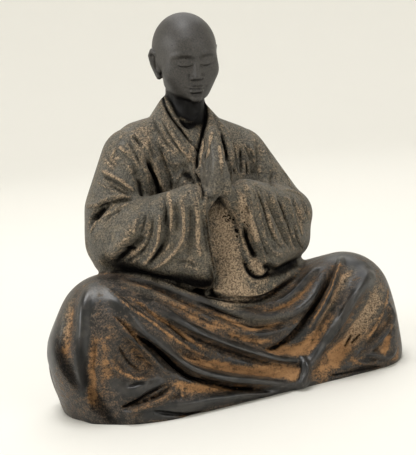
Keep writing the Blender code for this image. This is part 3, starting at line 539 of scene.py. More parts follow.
def skull():
    forms = [
        stretched(((0, 1.6, 2.2), (8.5, 10.3, 9.4)), steps=4),
        stretched(((0, -2.6, 2.6), (7.1, 6.6, 6.6)), ((-4.3, -3.7, -2.7), 3.5), ((4.3, -3.7, -2.7), 3.5),
                  ((-4.0, -0.6, -6.2), 2.7), ((4.0, -0.6, -6.2), 2.7), ((-2.5, -4.2, -8.2), 2.4),
                  ((2.5, -4.2, -8.2), 2.4), ((0, -6.0, CHIN + 2.3), (2.9, 2.3, 2.2))),
        stretched(((0, 2.4, -1), (6.2, 7.6, 5)), ((0, 3.0, -8.5), (4.2, 4.4, 3))),
    ]
    return skin_of(forms, SKULL_GRAIN, 12)


def head():
    forms = [skull()]
    forms.append(stretched(((0, -8.5, BROW - 0.6), (0.75, 0.6, 0.9)), ((0, -9.4, NOSE_FOOT + 1.6), (0.8, 0.7, 0.8)),
                           ((0, -8.4, NOSE_FOOT + 1.0), (1.3, 0.8, 0.8)), steps=2))
    forms.append(stretched(((0, -9.5, NOSE_FOOT + 1.0), (1.1, 0.95, 0.95)), steps=2))
    for side in (-1, 1):
        forms.append(stretched(((side * 1.25, -8.9, NOSE_FOOT + 0.8), (0.7, 0.9, 0.7)), steps=2))
        forms.append(stretched(((side * EYE_OUT, -7.05, EYES - 0.4), (1.75, 1.35, 1.3)), steps=2))
        forms.append(stretched(((side * 0.55, -8.75, MOUTH + 0.42), (0.75, 0.6, 0.42)),
                               ((side * 2.3, -7.7, MOUTH + 0.05), (0.4, 0.4, 0.22)), steps=2))
        forms.append(stretched(((side * 4.4, -5.0, -2.6), (2.3, 1.9, 2.0)), steps=2))
        forms += ear(side)
    forms.append(stretched(((-1.0, -8.35, MOUTH - 0.65), (0.9, 0.62, 0.5)),
                           ((1.0, -8.35, MOUTH - 0.65), (0.9, 0.62, 0.5)), steps=2))
    forms.append(stretched(((0, -7.6, CHIN + 1.7), (1.6, 1.1, 1.3)), steps=2))
    return skin_of(forms, FACE_GRAIN, 7)


FACE_LINES = [
    fold([(-2.6, -7.9, MOUTH + 0.15), (-1.2, -8.8, MOUTH - 0.05), (0, -9.2, MOUTH - 0.12), (1.2, -8.8, MOUTH - 0.05),
          (2.6, -7.9, MOUTH + 0.15)], width=0.42, rise=-0.42, ends=(0.3, 0.3)),
    fold([(-1.5, -8, MOUTH - 1.5), (0, -8.4, MOUTH - 1.65), (1.5, -8, MOUTH - 1.5)], width=0.8, rise=-0.32),
    fold([(0, -8.9, MOUTH + 1.75), (0, -9.0, MOUTH + 0.95)], width=0.45, rise=-0.22, ends=(0.6, 0.6)),
    fold([(0, -9, BROW + 2.2), (0, -9.2, BROW + 1.2)], width=1.4, rise=-0.15, ends=(0.5, 0.5)),
]
for side in (-1, 1):
    FACE_LINES += [
        fold([(side * 1.25, -8.6, BROW - 0.1), (side * 3.1, -8.8, BROW + 0.55), (side * 5.6, -7.0, BROW - 0.3)],
             width=1.2, rise=0.3, ends=(0.2, 0.5)),
        fold([(side * 1.5, -8.3, 0.75), (side * EYE_OUT, -8.5, 1.25), (side * 4.9, -7.2, 0.65)],
             width=1.7, rise=-0.26, ends=(0.6, 0.5)),
        fold([(side * 1.35, -8.2, EYES - 0.95), (side * 2.3, -8.5, EYES - 1.42), (side * EYE_OUT, -8.5, EYES - 1.55),
              (side * 3.95, -8.0, EYES - 1.35), (side * 4.75, -7.4, EYES - 0.8)],
             width=0.4, rise=-0.42, ends=(0.5, 0.3)),
        fold([(side * 1.6, -8.2, EYES - 2.0), (side * EYE_OUT, -8.3, EYES - 2.4), (side * 4.6, -7.2, EYES - 1.8)],
             width=0.9, rise=-0.12),
        fold([(side * 1.9, -8.4, NOSE_FOOT + 1.7), (side * 2.15, -8.3, NOSE_FOOT + 1.0),
              (side * 2.1, -8.4, NOSE_FOOT + 0.3)], width=0.4, rise=-0.22, ends=(0, 0.3)),
        fold([(side * 0.55, -9.6, NOSE_FOOT + 0.15), (side * 0.95, -9.1, NOSE_FOOT + 0.15)], width=0.4, rise=-0.35,
             ends=(0.7, 0.7)),
        fold([(side * 8.0, 1.3, 1.4), (side * 8.4, 1.8, -0.6), (side * 7.9, 1.3, -2.6)], width=0.5, rise=-0.5),
    ]


def neck():
    """The neck, as wide at the nape as the skull's foot."""
    return stretched(((-1.8, 3.6, 68), (5.2, 7, 4)), ((-1.2, 5.6, 80), (5.1, 5.4, 5)), ((-1.3, 2, 80), 4.1))


# The casting: the masses become one skin, and the folds are worked into it in two rounds, broad and then fine.
# The head is worked at a finer grain and joined on at the neck, and the underside is ground off flat.
BODY_GRAIN = 0.55
CLOTH_GRAIN = 0.34
SETTLING = 14
BODY_TRIANGLES = 152_000
HEAD_TRIANGLES = 38_000

# A stroke fades over this share of its run at each end, and reaches this many times its width to either side.
# A groove's middle and its half width are in widths too.
FADE, REACH = 0.3, 2.2
GROOVE_MIDDLE, GROOVE_WIDE = 1.25, 0.65

# Where the picture is seen from, in carver's units about the foot of the figure's middle, and its frame in pixels.
VIEW_TURN, VIEW_TILT, VIEW_ROLL = radians(-18), radians(10), radians(-5)
VIEW_AWAY, VIEW_ACROSS, VIEW_UP = 250, 0.28, 42.08
PICTURE_WIDE, PICTURE_HIGH = 416, 455
FOCAL_PIXELS = 919.07
view_back = Vector((sin(VIEW_TURN) * cos(VIEW_TILT), -cos(VIEW_TURN) * cos(VIEW_TILT), sin(VIEW_TILT)))
view_level = Vector((cos(VIEW_TURN), sin(VIEW_TURN), 0))
view_upright = view_back.cross(view_level)
view_right = view_level * cos(VIEW_ROLL) + view_upright * sin(VIEW_ROLL)
view_up = view_upright * cos(VIEW_ROLL) - view_level * sin(VIEW_ROLL)
view_eye = view_level * VIEW_ACROSS + Vector((0, 0, VIEW_UP)) + view_back * VIEW_AWAY


def unit_rows(rows):
    """Each row at a length of one."""
    return rows / np.linalg.norm(rows, axis=1, keepdims=True)


def places_of(mesh):
    """The mesh's points as rows."""
    spots = np.empty(len(mesh.vertices) * 3, dtype=np.float32)
    mesh.vertices.foreach_get("co", spots)
    return spots.reshape(-1, 3).astype(float)


def facing_of(mesh):
    """The way the skin faces at each point, as rows."""
    outward = np.empty(len(mesh.vertices) * 3, dtype=np.float32)
    mesh.vertex_normals.foreach_get("vector", outward)
    return outward.reshape(-1, 3).astype(float)


def skin_tree(mesh):
    """The mesh as a tree that finds its nearest place."""
    solid = bmesh.new()
    solid.from_mesh(mesh)
    tree = BVHTree.FromBMesh(solid)
    solid.free()
    return tree


def on_skin(tree, point):
    """A point's place on the skin: the nearest one, or the one that the picture shows there."""
    if len(point) == 3:
        return tree.find_nearest(point)[0]
    across, down = point
    look = view_right * (across - PICTURE_WIDE / 2) + view_up * (PICTURE_HIGH / 2 - down)
    look = look / FOCAL_PIXELS - view_back
    hit = tree.ray_cast(view_eye, look)[0]
    return hit or tree.find_nearest(view_eye + look * VIEW_AWAY)[0]


def laid_on(tree, points):
    """A smooth line laid on the skin, with the way the skin faces along it."""
    hits = [tree.find_nearest(point) for point in flowing([on_skin(tree, point) for point in points])]
    line = np.array([hit[0] for hit in hits])
    facing = np.array([hit[1] for hit in hits])
    for _ in range(SETTLING):
        line[1:-1] = (line[:-2] + 2 * line[1:-1] + line[2:]) / 4
        facing[1:-1] = (facing[:-2] + 2 * facing[1:-1] + facing[2:]) / 4
    return line, unit_rows(facing)


def across_fold(side, stroke):
    """How high a fold stands at a distance to its left: a crest, and the groove on its right."""
    width, lean = stroke["width"], stroke["lean"]
    flank = width * np.where(side < 0, 1 - lean, 1 + lean / 2)
    crest = (1 - np.clip(np.abs(side) / flank, 0, 1) ** stroke["blunt"]) ** 2
    foot = np.abs(side + width * (GROOVE_MIDDLE - lean)) / (GROOVE_WIDE * width)
    return crest - stroke["groove"] * (1 - np.clip(foot, 0, 1) ** 2) ** 2


def along_fold(share, ends):
    """How a fold fades in and out along its run."""
    start = ends[0] + (1 - ends[0]) * np.clip(share / FADE, 0, 1)
    finish = ends[1] + (1 - ends[1]) * np.clip((1 - share) / FADE, 0, 1)
    return np.sin(start * pi / 2) * np.sin(finish * pi / 2)


def stroke_height(stroke, tree, spots, outward):
    """The points that a stroke reaches, how strongly it acts on each, and which way."""
    line, facing = laid_on(tree, stroke["points"])
    reach = REACH * stroke["width"]
    near = np.all((spots > line.min(axis=0) - reach) & (spots < line.max(axis=0) + reach), axis=1)
    near = np.flatnonzero(near)
    distance = (spots[near] ** 2).sum(axis=1)[:, None] + (line**2).sum(axis=1)[None] - 2 * spots[near] @ line.T
    closest = np.argmin(distance, axis=1)
    gap = spots[near] - line[closest]
    run = unit_rows(np.gradient(line, axis=0))[closest]
    along = np.clip(np.einsum("vk,vk->v", gap, run), -0.5, 0.5)
    gap -= along[:, None] * run
    side = np.einsum("vk,vk->v", gap, unit_rows(np.cross(facing[closest], run)))
    side = np.where(side < 0, -1, 1) * np.linalg.norm(gap, axis=1)
    same_way = np.clip(2 * np.einsum("vk,vk->v", outward[near], facing[closest]), 0, 1)
    height = across_fold(side, stroke) * along_fold(closest / (len(line) - 1), stroke["ends"])
    return near, height * same_way, facing[closest]


def worked(mesh, strokes):
    """Raise and sink the skin along the strokes."""
    spots, outward = places_of(mesh), facing_of(mesh)
    tree = skin_tree(mesh)
    lift = np.zeros_like(spots)
    for stroke in strokes:
        near, height, way = stroke_height(stroke, tree, spots, outward)
        lift[near] += (stroke["rise"] * height)[:, None] * way
    mesh.vertices.foreach_set("co", (spots + lift).astype(np.float32).ravel())
    mesh.update()
    return mesh


def thinned(mesh, triangles):
    """The mesh with few triangles where it is plain and many where it is worked."""
    return shaped(mesh, ("Thin", "DECIMATE", {"ratio": triangles / (2 * len(mesh.polygons))}))


upper_forms = [torso(), lapels(), sleeve_r(), sleeve_l()]
legs_form, neck_form, hands_form = legs(), neck(), hands()
upper_trees = [skin_tree(form) for form in upper_forms]
lap_tree, neck_tree, hands_tree = skin_tree(legs_form), skin_tree(neck_form), skin_tree(hands_form)
body = skin_of([legs_form, *upper_forms, neck_form, hands_form], BODY_GRAIN, 1)
worked(body, LAP_FOLDS + UNDER_SLEEVES + KNEE_FOLDS + SLEEVE_FOLDS + CHEST_FOLDS + LAPEL_FOLDS + BACK_FOLDS
       + SIDE_FOLDS)
body = skin_of([body], CLOTH_GRAIN, 1)
worked(body, LAP_CREASES + SLEEVE_CREASES + CHEST_CREASES + LAPEL_CREASES + HAND_CREASES)
body = shaped(body, ("Soften", "SMOOTH", {"factor": 0.5, "iterations": 1}))
bust = worked(head(), FACE_LINES)
bust.transform(Matrix.Translation(HEAD_MIDDLE) @ Matrix.Rotation(HEAD_BOW, 4, "X"))

# The ochre ground shows where the wax was never thick or has been rubbed off: in the broad valleys of the lap,
# along the thin edges of folds, and all over the rough fall of cloth between the sleeves. In this list and the
# four after it, a stroke's rise is how strong its colour is.
OCHRE = [
    fold(RIGHT_THIGH_SEAM, 0.65, 0.9),
    fold([(130, 297), (142, 305), (155, 316), (170, 325), (185, 337), (200, 346), (215, 355)], 0.86, 0.8),
    fold([(150, 293), (165, 298), (180, 304), (196, 312), (205, 318)], 2.0, 0.5),
    fold([(122, 280), (132, 285), (142, 286), (152, 290)], 1.5, 0.5),
    fold([(262, 311), (280, 308), (295, 300), (305, 290), (313, 280), (322, 268)], 0.94, 0.9),
    fold([(205, 309), (220, 317), (232, 321), (243, 327), (255, 330), (270, 326), (285, 321)], 0.86, 0.9),
    fold([(225, 332), (240, 338), (255, 341), (268, 340)], 0.86, 0.85),
    fold([(205, 318), (225, 326), (245, 334)], 0.72, 0.45),
    fold([(341, 258), (337, 270), (333, 283), (328, 295), (321, 308), (313, 322), (307, 332)], 0.7, 1.1),
    fold([(266, 354), (285, 350), (300, 346), (314, 336)], 2.6, 1.0, ends=(0.4, 0.6)),
    fold([(285, 353), (300, 351), (314, 344)], 2.4, 1.0, ends=(0.4, 0.6)),
    fold([(380, 294), (372, 308), (361, 324), (349, 340), (338, 354), (327, 368), (320, 377)], 4.4, 0.85,
         ends=(0.3, 0.5)),
    fold([(380, 286), (373, 300), (364, 314)], 3.6, 0.6, ends=(0.3, 0.5)),
    fold(LEFT_KNEE_SEAM, 0.86, 0.8),
    fold([(392, 328), (387, 340), (384, 350)], 1.8, 1.0, ends=(0.5, 0.5)),
    fold([(345, 358), (358, 363), (370, 365), (378, 362)], 0.72, 0.8),
    fold([(396, 345), (398, 355), (390, 362)], 1.5, 0.6),
    fold([(183, 358), (200, 362), (220, 366), (240, 370), (265, 373), (295, 375)], 2.3, 1.0, ends=(0.3, 0.8)),
    fold([(250, 368), (275, 370), (294, 372)], 2.4, 1.0, ends=(0.3, 0.9)),
    fold([(180, 386), (200, 388), (225, 389), (250, 386)], 2.0, 0.85, ends=(0.5, 0)),
    fold([(182, 384), (183, 399)], 0.58, 0.8),
    fold([(123, 413), (140, 409), (155, 403), (165, 398), (177, 387)], 1.5, 0.85),
    fold([(140, 420), (165, 421), (185, 419), (215, 413)], 0.58, 0.5),
    fold([(110, 357), (116, 368), (124, 374), (135, 378), (150, 380), (158, 378)], 0.86, 0.85),
    fold([(105, 312), (115, 318), (125, 330), (138, 343), (150, 356), (162, 370), (172, 377)], 0.72, 0.65),
    fold([(120, 318), (132, 334), (141, 345)], 2.0, 0.55),
    fold([(97, 335), (94, 355), (92, 375), (92, 395), (97, 412)], 2.4, 0.8),
    fold([(72, 298), (69, 315), (67, 335), (66, 352), (72, 366)], 2.0, 0.5),
    fold([(105, 318), (112, 330), (104, 345), (107, 365), (103, 385), (110, 400)], 2.6, 0.45),
    fold([(101, 170), (108, 174), (118, 179), (128, 186), (136, 193)], 0.58, 0.9),
    fold([(118, 145), (125, 153), (130, 158)], 0.58, 0.7),
    fold([(152, 165), (158, 180), (163, 190)], 0.65, 0.7),
    fold([(160, 150), (165, 165), (170, 180)], 0.50, 0.6),
    fold([(170, 133), (176, 143), (184, 152), (190, 158)], 0.65, 0.8),
    fold([(166, 145), (172, 151), (176, 156)], 0.72, 0.8),
    fold([(191, 149), (189, 158)], 0.86, 0.9, ends=(0.5, 0.5)),
    fold([(163, 155), (168, 161)], 0.72, 0.8, ends=(0.5, 0.5)),
    fold([(128, 132), (140, 130), (148, 140), (142, 152)], 2.6, 0.5),
    fold([(115, 156), (111, 166)], 2.2, 0.5, ends=(0.5, 0.5)),
    fold([(160, 215), (159, 230), (157, 245), (150, 258), (140, 266)], 0.58, 0.75),
    fold([(138, 212), (135, 225), (133, 233)], 0.43, 0.5),
    fold([(168, 192), (171, 205), (171, 220), (169, 235)], 0.58, 0.8),
    fold([(182, 196), (183, 215), (184, 232), (180, 245), (172, 255), (160, 265), (147, 271)], 0.65, 0.7),
    fold([(195, 200), (196, 215), (197, 235), (198, 255)], 0.94, 0.5),
    fold([(90, 232), (95, 225), (98, 218)], 0.50, 0.7),
    fold([(86, 238), (88, 252)], 0.72, 0.5, ends=(0.5, 0.5)),
    fold([(124, 252), (133, 250), (140, 260)], 2.0, 0.5),
    fold([(213, 130), (210, 142), (207, 154), (205, 166)], 0.8, 1.6),
    fold([(204, 138), (202, 152), (200, 168)], 0.5, 1.0),
    fold([(219, 130), (220, 145), (221, 160), (222, 182)], 0.7, 1.8),
    fold([(245, 145), (250, 155)], 0.43, 0.7, ends=(0.5, 0.5)),
    fold([(240, 196), (247, 212), (252, 228), (258, 245)], 1.6, 0.8),
    fold([(253, 261), (257, 266), (261, 270)], 2.0, 1.3, ends=(0.4, 0.4)),
    fold([(263, 205), (269, 222), (276, 240)], 0.72, 0.5),
    fold([(277, 203), (284, 220), (290, 238)], 0.72, 0.45),
    fold([(295, 205), (300, 220), (302, 236)], 1.5, 0.5),
    fold([(224, 198), (226, 215), (224, 238), (228, 262), (234, 290)], 6.5, 0.95, ends=(0.2, 0.9)),
    fold([(221, 184), (224, 194), (228, 204)], 1.6, 0.6, ends=(0.4, 0.8)),
    fold([(205, 318), (225, 326), (245, 332), (262, 334)], 2.6, 0.55),
    fold([(170, 303), (190, 315), (210, 328), (225, 336)], 2.0, 0.4),
    fold([(332, 316), (326, 328), (318, 340)], 1.4, 0.5, ends=(0.5, 0.3)),
    fold([(348, 272), (340, 287), (331, 303), (321, 319)], 2.2, 0.75, ends=(0.4, 0.4)),
    fold([(240, 196), (244, 210), (246, 225), (249, 240)], 2.2, 0.9, ends=(0.4, 0.6)),
    fold([(212, 205), (212, 225), (216, 250)], 2.2, 0.7, ends=(0.6, 0.6)),
    fold([(206, 288), (225, 293), (245, 293), (262, 287)], 3.0, 0.5, ends=(0.5, 0.5)),
    fold([(222, 268), (240, 270), (252, 280)], 3.5, 0.4, ends=(0.5, 0.5)),
    fold([(222, 196), (225, 206), (230, 218)], 2.6, 0.7, ends=(0.5, 0.5)),
    fold([(245, 195), (245, 215), (246, 235), (249, 256)], 1.2, 0.7, ends=(0.4, 0.4)),
]

# The fall of cloth and a spot on the left shin are pitted.
PITTED = [
    fold([(217, 200), (222, 208), (228, 217), (232, 228)], 2.8, 1.0, ends=(0.3, 0.3)),
    fold([(242, 208), (246, 222), (249, 235)], 1.4, 0.8, ends=(0.5, 0.3)),
    fold([(235, 222), (237, 232), (238, 242)], 1.2, 0.9),
    fold([(243, 258), (247, 268), (254, 276)], 1.6, 0.9),
    fold([(352, 342), (358, 334)], 1.6, 0.9),
]

# Grey dust dulls the knees, the roll by the left knee and the lap below the fall of cloth.
DUST = [
    fold([(383, 284), (376, 299), (366, 315), (354, 332)], 5.4, 0.95, ends=(0.2, 0.5)),
    fold([(84, 284), (97, 289), (108, 295)], 4.0, 0.3, ends=(0.3, 0.3)),
    fold([(350, 270), (341, 286), (332, 302), (322, 318)], 2.2, 0.8, ends=(0.4, 0.4)),
    fold([(225, 312), (245, 320), (265, 322), (285, 315)], 2.6, 0.5, ends=(0.4, 0.4)),
    fold([(70, 300), (66, 318), (64, 336)], 2.2, 0.7, ends=(0.4, 0.4)),
    fold([(130, 285), (150, 292), (175, 300)], 2.4, 0.5, ends=(0.5, 0.5)),
]

# Painted shade: black strokes in the cracks between folds, under the chin, along the edges of the hands and under the
# sleeves, where shade falls.
PAINTED_SHADE = [
    fold([(219, 126), (226, 151), (231, 174), (237, 200)], 0.55, 0.9),
    fold([(205, 122), (200, 145), (197, 165), (197, 180), (204, 200)], 0.5, 0.8),
    fold([(233, 148), (236, 163), (238, 176)], 0.4, 0.7),
    fold([(246, 160), (247, 170), (247, 177)], 0.4, 0.7),
    fold([(252, 186), (261, 200), (265, 215), (270, 234)], 0.5, 0.6),
    fold([(275, 195), (282, 209), (287, 223), (292, 238)], 0.5, 0.6),
    fold([(118, 272), (140, 274), (165, 281), (190, 291), (215, 299), (240, 302), (262, 300), (280, 289), (300, 274)],
         0.9, 1.0),
    fold([(176, 98), (186, 103), (200, 103)], 3.0, 1.0, ends=(0.6, 0.9)),
    fold([(186, 104), (192, 112), (192, 120)], 2.6, 1.0, ends=(0.8, 0.3)),
    fold([(200, 183), (204, 196), (214, 199), (217, 190)], 0.7, 0.8),
    fold([(163, 99), (166, 108), (170, 116), (176, 124), (183, 133), (190, 142)], 0.6, 0.9, ends=(0.5, 0)),
    fold([(205, 104), (206, 112), (206, 119), (204, 128), (201, 138), (198, 150)], 0.6, 1.0, ends=(0.5, 0)),
    fold([(262, 352), (275, 348), (288, 341), (297, 332), (305, 322), (312, 312), (320, 298)], 0.9, 0.9),
    fold([(142, 337), (155, 348), (165, 358), (174, 369)], 1.1, 1.0),
    fold([(198, 375), (208, 380), (222, 382)], 1.0, 0.8),
    fold([(120, 408), (135, 402), (150, 393), (160, 387)], 0.7, 0.8),
    fold([(152, 411), (170, 414), (190, 415), (205, 412)], 0.7, 0.9),
    fold(HEM_CRACK, 0.6, 0.9),
    *[fold(nick, 0.5, 0.8, ends=(0.5, 0.5)) for nick in LAP_NICKS],
    fold([(146, 160), (151, 170), (156, 182), (158, 192)], 0.6, 0.9),
    fold([(138, 178), (141, 188), (143, 196)], 0.8, 0.9),
    fold([(114, 262), (124, 254), (135, 244)], 1.2, 0.9),
    fold([(95, 217), (102, 210)], 1.0, 1.0, ends=(0.5, 0.5)),
    fold([(147, 264), (158, 252), (164, 243)], 0.9, 0.9),
    fold([(240, 148), (241, 160), (241, 174)], 0.5, 0.8),
    fold([(244, 229), (247, 241), (252, 253)], 0.9, 1.0, ends=(0.4, 0.6)),
    fold(CUFF_HOOK, 0.8, 0.9),
    fold([(204, 200), (207, 225), (210, 248), (214, 268), (217, 284)], 0.5, 0.9),
    fold([(185, 175), (192, 180)], 1.6, 0.8, ends=(0.5, 0.5)),
    fold([(245, 205), (249, 213)], 0.7, 0.8),
    fold([(244, 236), (249, 246), (254, 254)], 1.1, 1.0, ends=(0.5, 0.8)),
    fold([(244, 262), (250, 273), (262, 276), (278, 273), (295, 265)], 1.6, 1.0, ends=(0.5, 0.8)),
    fold([(268, 266), (282, 265), (294, 262)], 2.2, 1.0, ends=(0.7, 0.8)),
    fold([(108, 262), (130, 269), (158, 276), (185, 281), (208, 284)], 3.6, 1.2, ends=(0.4, 0.8)),
    fold([(108, 262), (118, 268), (130, 272)], 1.6, 0.9, ends=(0.5, 0.5)),
    fold([(210, 268), (213, 280), (212, 290)], 1.0, 1.0, ends=(0.3, 0.8)),
    fold([(96, 396), (102, 410), (112, 421)], 3.0, 0.8, ends=(0.6, 0.4)),
    fold([(78, 345), (82, 368), (88, 390)], 2.4, 0.8, ends=(0.5, 0.2)),
    fold([(58, 345), (66, 370), (84, 392)], 3.4, 0.9, ends=(0.4, 0.2)),
    fold([(88, 380), (92, 400), (96, 418)], 1.6, 0.7),
]

# The wax is thickest, smooth and nearly black on the knees and on the round backs of the great folds.
WAX = [
    fold([(92, 290), (86, 305), (83, 325), (82, 350), (82, 375), (87, 398)], 3.0, 0.8, ends=(0.8, 0)),
    fold([(85, 270), (70, 283), (58, 305), (52, 330), (50, 355)], 4.4, 0.7, ends=(0.5, 0.8)),
    fold([(338, 257), (352, 262), (364, 270), (372, 280)], 3.8, 0.9, ends=(0.8, 0.4)),
    fold([(104, 290), (112, 302), (122, 312)], 2.2, 0.5, ends=(0.8, 0)),
    fold([(352, 272), (345, 288), (337, 304), (328, 319)], 2.2, 0.4, ends=(0.4, 0.5)),
    fold([(368, 279), (357, 291), (347, 305), (337, 321), (326, 337), (315, 353), (306, 367)], 1.7, 0.9),
    fold([(214, 135), (213, 155), (215, 175)], 1.0, 1.0),
    fold([(165, 312), (185, 324), (205, 334), (225, 342), (245, 349), (262, 354), (285, 360), (303, 362)], 2.0, 1.0),
    fold([(304, 360), (305, 370), (300, 382)], 1.8, 1.0, ends=(0.6, 0.6)),
    fold([(150, 332), (165, 345), (180, 358), (195, 370), (215, 376), (240, 381), (270, 383), (295, 381)], 1.2, 0.9),
    fold([(312, 384), (290, 388), (260, 394), (230, 399), (205, 404), (185, 408), (150, 414)], 2.6, 0.9, ends=(0.5, 0.5)),
    fold([(115, 384), (130, 388), (148, 386), (160, 380)], 2.6, 0.9, ends=(0.5, 0.3)),
    fold([(115, 276), (140, 281), (165, 288), (190, 299), (215, 308), (240, 316), (262, 319)], 1.5, 0.5),
    fold([(300, 290), (312, 280), (325, 262)], 1.6, 0.5),
]


def relief(mesh, rounds):
    """How far each point stands out from the smoothed skin round it."""
    spots = places_of(mesh)
    edges = np.empty(len(mesh.edges) * 2, dtype=np.int32)
    mesh.edges.foreach_get("vertices", edges)
    first, second = edges.reshape(-1, 2).T
    count = len(spots)
    neighbours = np.bincount(first, minlength=count) + np.bincount(second, minlength=count)
    smooth = spots.copy()
    for _ in range(rounds):
        total = np.empty_like(smooth)
        for axis in range(3):
            column = smooth[:, axis]
            total[:, axis] = np.bincount(first, column[second], count) + np.bincount(second, column[first], count)
        smooth = (smooth + total) / (1 + neighbours)[:, None]
    return np.einsum("vk,vk->v", spots - smooth, facing_of(mesh))


def painted(mesh, strokes):
    """How strongly the strokes colour each point."""
    spots, outward = places_of(mesh), facing_of(mesh)
    tree = skin_tree(mesh)
    paint = np.zeros(len(spots))
    for stroke in strokes:
        near, height, _ = stroke_height(stroke, tree, spots, outward)
        paint[near] = np.maximum(paint[near], stroke["rise"] * height)
    return paint


PAINT = {"ochre": OCHRE, "painted_shade": PAINTED_SHADE, "wax": WAX, "pitted": PITTED, "dust": DUST}


def marks_on(mesh, fine_rounds, broad_rounds, paint, skin):
    """The relief and the paint at each point, and whether it is the head's bare skin."""
    marks = {"fine": relief(mesh, fine_rounds), "broad": relief(mesh, broad_rounds)}
    for name in PAINT:
        marks[name] = painted(mesh, paint.get(name, []))
    marks["skin"] = np.full(len(mesh.vertices), skin)
    return marks


# The head's grain is finer, so its relief takes more rounds of smoothing.
marks_of_body = marks_on(body, 8, 90, PAINT, 0.0)
marks_of_bust = marks_on(bust, 20, 150, {}, 1.0)
worked_places = np.concatenate([places_of(body), places_of(bust)])
worked_marks = {name: np.concatenate([marks_of_body[name], marks_of_bust[name]]) for name in marks_of_body}

body = thinned(body, BODY_TRIANGLES)
bust = thinned(bust, HEAD_TRIANGLES)
joint = bpy.data.objects.new("bust", bust)
bpy.context.scene.collection.objects.link(joint)
whole = shaped(body, ("Join", "BOOLEAN", {"operation": "UNION", "object": joint}))
bpy.data.objects.remove(joint)

CUT_TOLERANCE = 0.001
solid = bmesh.new()
solid.from_mesh(whole)
bmesh.ops.bisect_plane(solid, geom=solid.verts[:] + solid.edges[:] + solid.faces[:], dist=CUT_TOLERANCE,
                       plane_co=(0, 0, 0), plane_no=(0, 0, 1), clear_inner=True)
bmesh.ops.edgeloop_fill(solid, edges=[edge for edge in solid.edges if edge.is_boundary])
solid.to_mesh(whole)
solid.free()

# The marks that steer the patina are kept on the casting's points: each takes those of the nearest worked place.
spots, outward = places_of(whole), facing_of(whole)
finder = kdtree.KDTree(len(worked_places))
for index, place in enumerate(worked_places):
    finder.insert(place, index)
finder.balance()
nearest = np.array([finder.find(spot)[1] for spot in spots])
marks = {name: values[nearest] for name, values in worked_marks.items()}

# A place is as open as the share of directions, spread evenly over the half globe outside it, that meet nothing.
SHADE_RAYS = 16
SHADE_REACH = 8.0
SHADE_START = 0.05
tree = skin_tree(whole)
rays = []
for step in range(SHADE_RAYS):
    rise = (step + 0.5) / SHADE_RAYS
    turn = step * pi * (3 - 5**0.5)
    level = (1 - rise * rise) ** 0.5
    rays.append(Vector((level * cos(turn), level * sin(turn), rise)))


def openness(place, way):
    """The share of directions that leave the skin freely."""
    turn = Vector(way).to_track_quat("Z", "Y")
    start = Vector(place) + Vector(way) * SHADE_START
    return sum(tree.ray_cast(start, turn @ ray, SHADE_REACH)[0] is None for ray in rays) / SHADE_RAYS


open_share = np.array([openness(place, way) for place, way in zip(spots, outward, strict=True)])


def away(tree):
    """How far each point lies from a form."""
    return np.array([tree.find_nearest(spot)[3] for spot in spots])


# Which of the masses a point belongs to: the head and neck, the robe's upper part with the hands, or the lap.
from_upper = np.min([away(form) for form in upper_trees], axis=0)
from_lap, from_neck, from_hands = away(lap_tree), away(neck_tree), away(hands_tree)
from_cloth = np.minimum(from_lap, from_upper)
on_head = np.maximum(marks["skin"], np.clip(0.5 + (from_cloth - from_neck) * 1.5, 0, 1))
on_hands = np.clip(0.5 + (from_cloth - from_hands) * 1.5, 0, 1)
on_robe = np.clip(0.5 + from_lap - np.minimum(from_upper, from_hands), 0, 1) * (1 - on_head)
on_lap = 1 - on_robe - on_head

# How deep or high a point lies in its folds, how shut in it is, how far it faces down and how far back it faces. The
# shut-in places, the throat and the head's downward faces get painted shade.
crest, crack = np.clip(marks["fine"] / 0.09, 0, 1), np.clip(-(marks["fine"] + 0.04) / 0.12, 0, 1)
hollow, swell = np.clip(-marks["broad"] / 0.7, 0, 1), np.clip(marks["broad"] / 0.8, 0, 1)
shaded = np.clip((0.45 - open_share) / 0.4, 0, 1)
downward = np.clip(-1.5 * outward[:, 2] - 0.4, 0, 1)
# Painted shade under the chin: the front of the neck below the head is darkened.
throat_shade = np.clip(1.3 - from_neck, 0, 1) * np.clip(0.5 - 1.2 * outward[:, 1], 0, 1)
dusty_side = np.clip(0.9 * outward[:, 1] - 0.8 * outward[:, 0] - 0.1, 0, 1) * marks["skin"]

rubbed = 0.1 * on_robe + on_lap * (0.2 + 0.3 * hollow - 0.5 * swell) + 0.4 * crest * on_robe + dusty_side
# The ochre is held back where the skin is shut in and in sharp creases, so those places stay dark: painted shade.
ochre = marks["ochre"] - 0.9 * marks["wax"] + rubbed * np.clip(open_share / 0.3, 0, 1)
# Painted shade in the creases: sharp creases are darkened, less where ochre is painted.
crease_shade = (0.65 - 0.15 * on_robe) * crack * (1 - marks["skin"]) * (1 - 0.7 * np.clip(marks["ochre"], 0, 1))
# All the painted shade together: the shade strokes, the shut-in places, the creases, the throat and the head's
# downward faces.
painted_shade = marks["painted_shade"] + 1.1 * shaded + crease_shade + throat_shade + 0.9 * downward * marks["skin"]
points_marks = {
    "ochre": np.clip(ochre, -0.4, 1.3) * (1 - 0.4 * crack),
    "painted_shade": np.clip(painted_shade, 0, 1),
    "robe": np.clip(on_robe + marks["dust"], 0, 1),
    "bare": np.maximum(on_head, 0.35 * on_hands),
    "wax": np.clip(marks["wax"], 0, 1),
    "pitted": np.clip(marks["pitted"], 0, 1),
}
for name, values in points_marks.items():
    whole.attributes.new(name, "FLOAT", "POINT").data.foreach_set("value", values.astype(np.float32))

shift = -(spots.min(axis=0) + spots.max(axis=0)) / 2
whole.transform(Matrix.Scale(UNIT, 4) @ Matrix.Translation((shift[0], shift[1], 0)))
for face in whole.polygons:
    face.use_smooth = True

casting = bpy.data.objects.new("monk_casting", whole)
bpy.context.scene.collection.objects.link(casting)
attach(casting, "root")
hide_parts("monk_figurine")


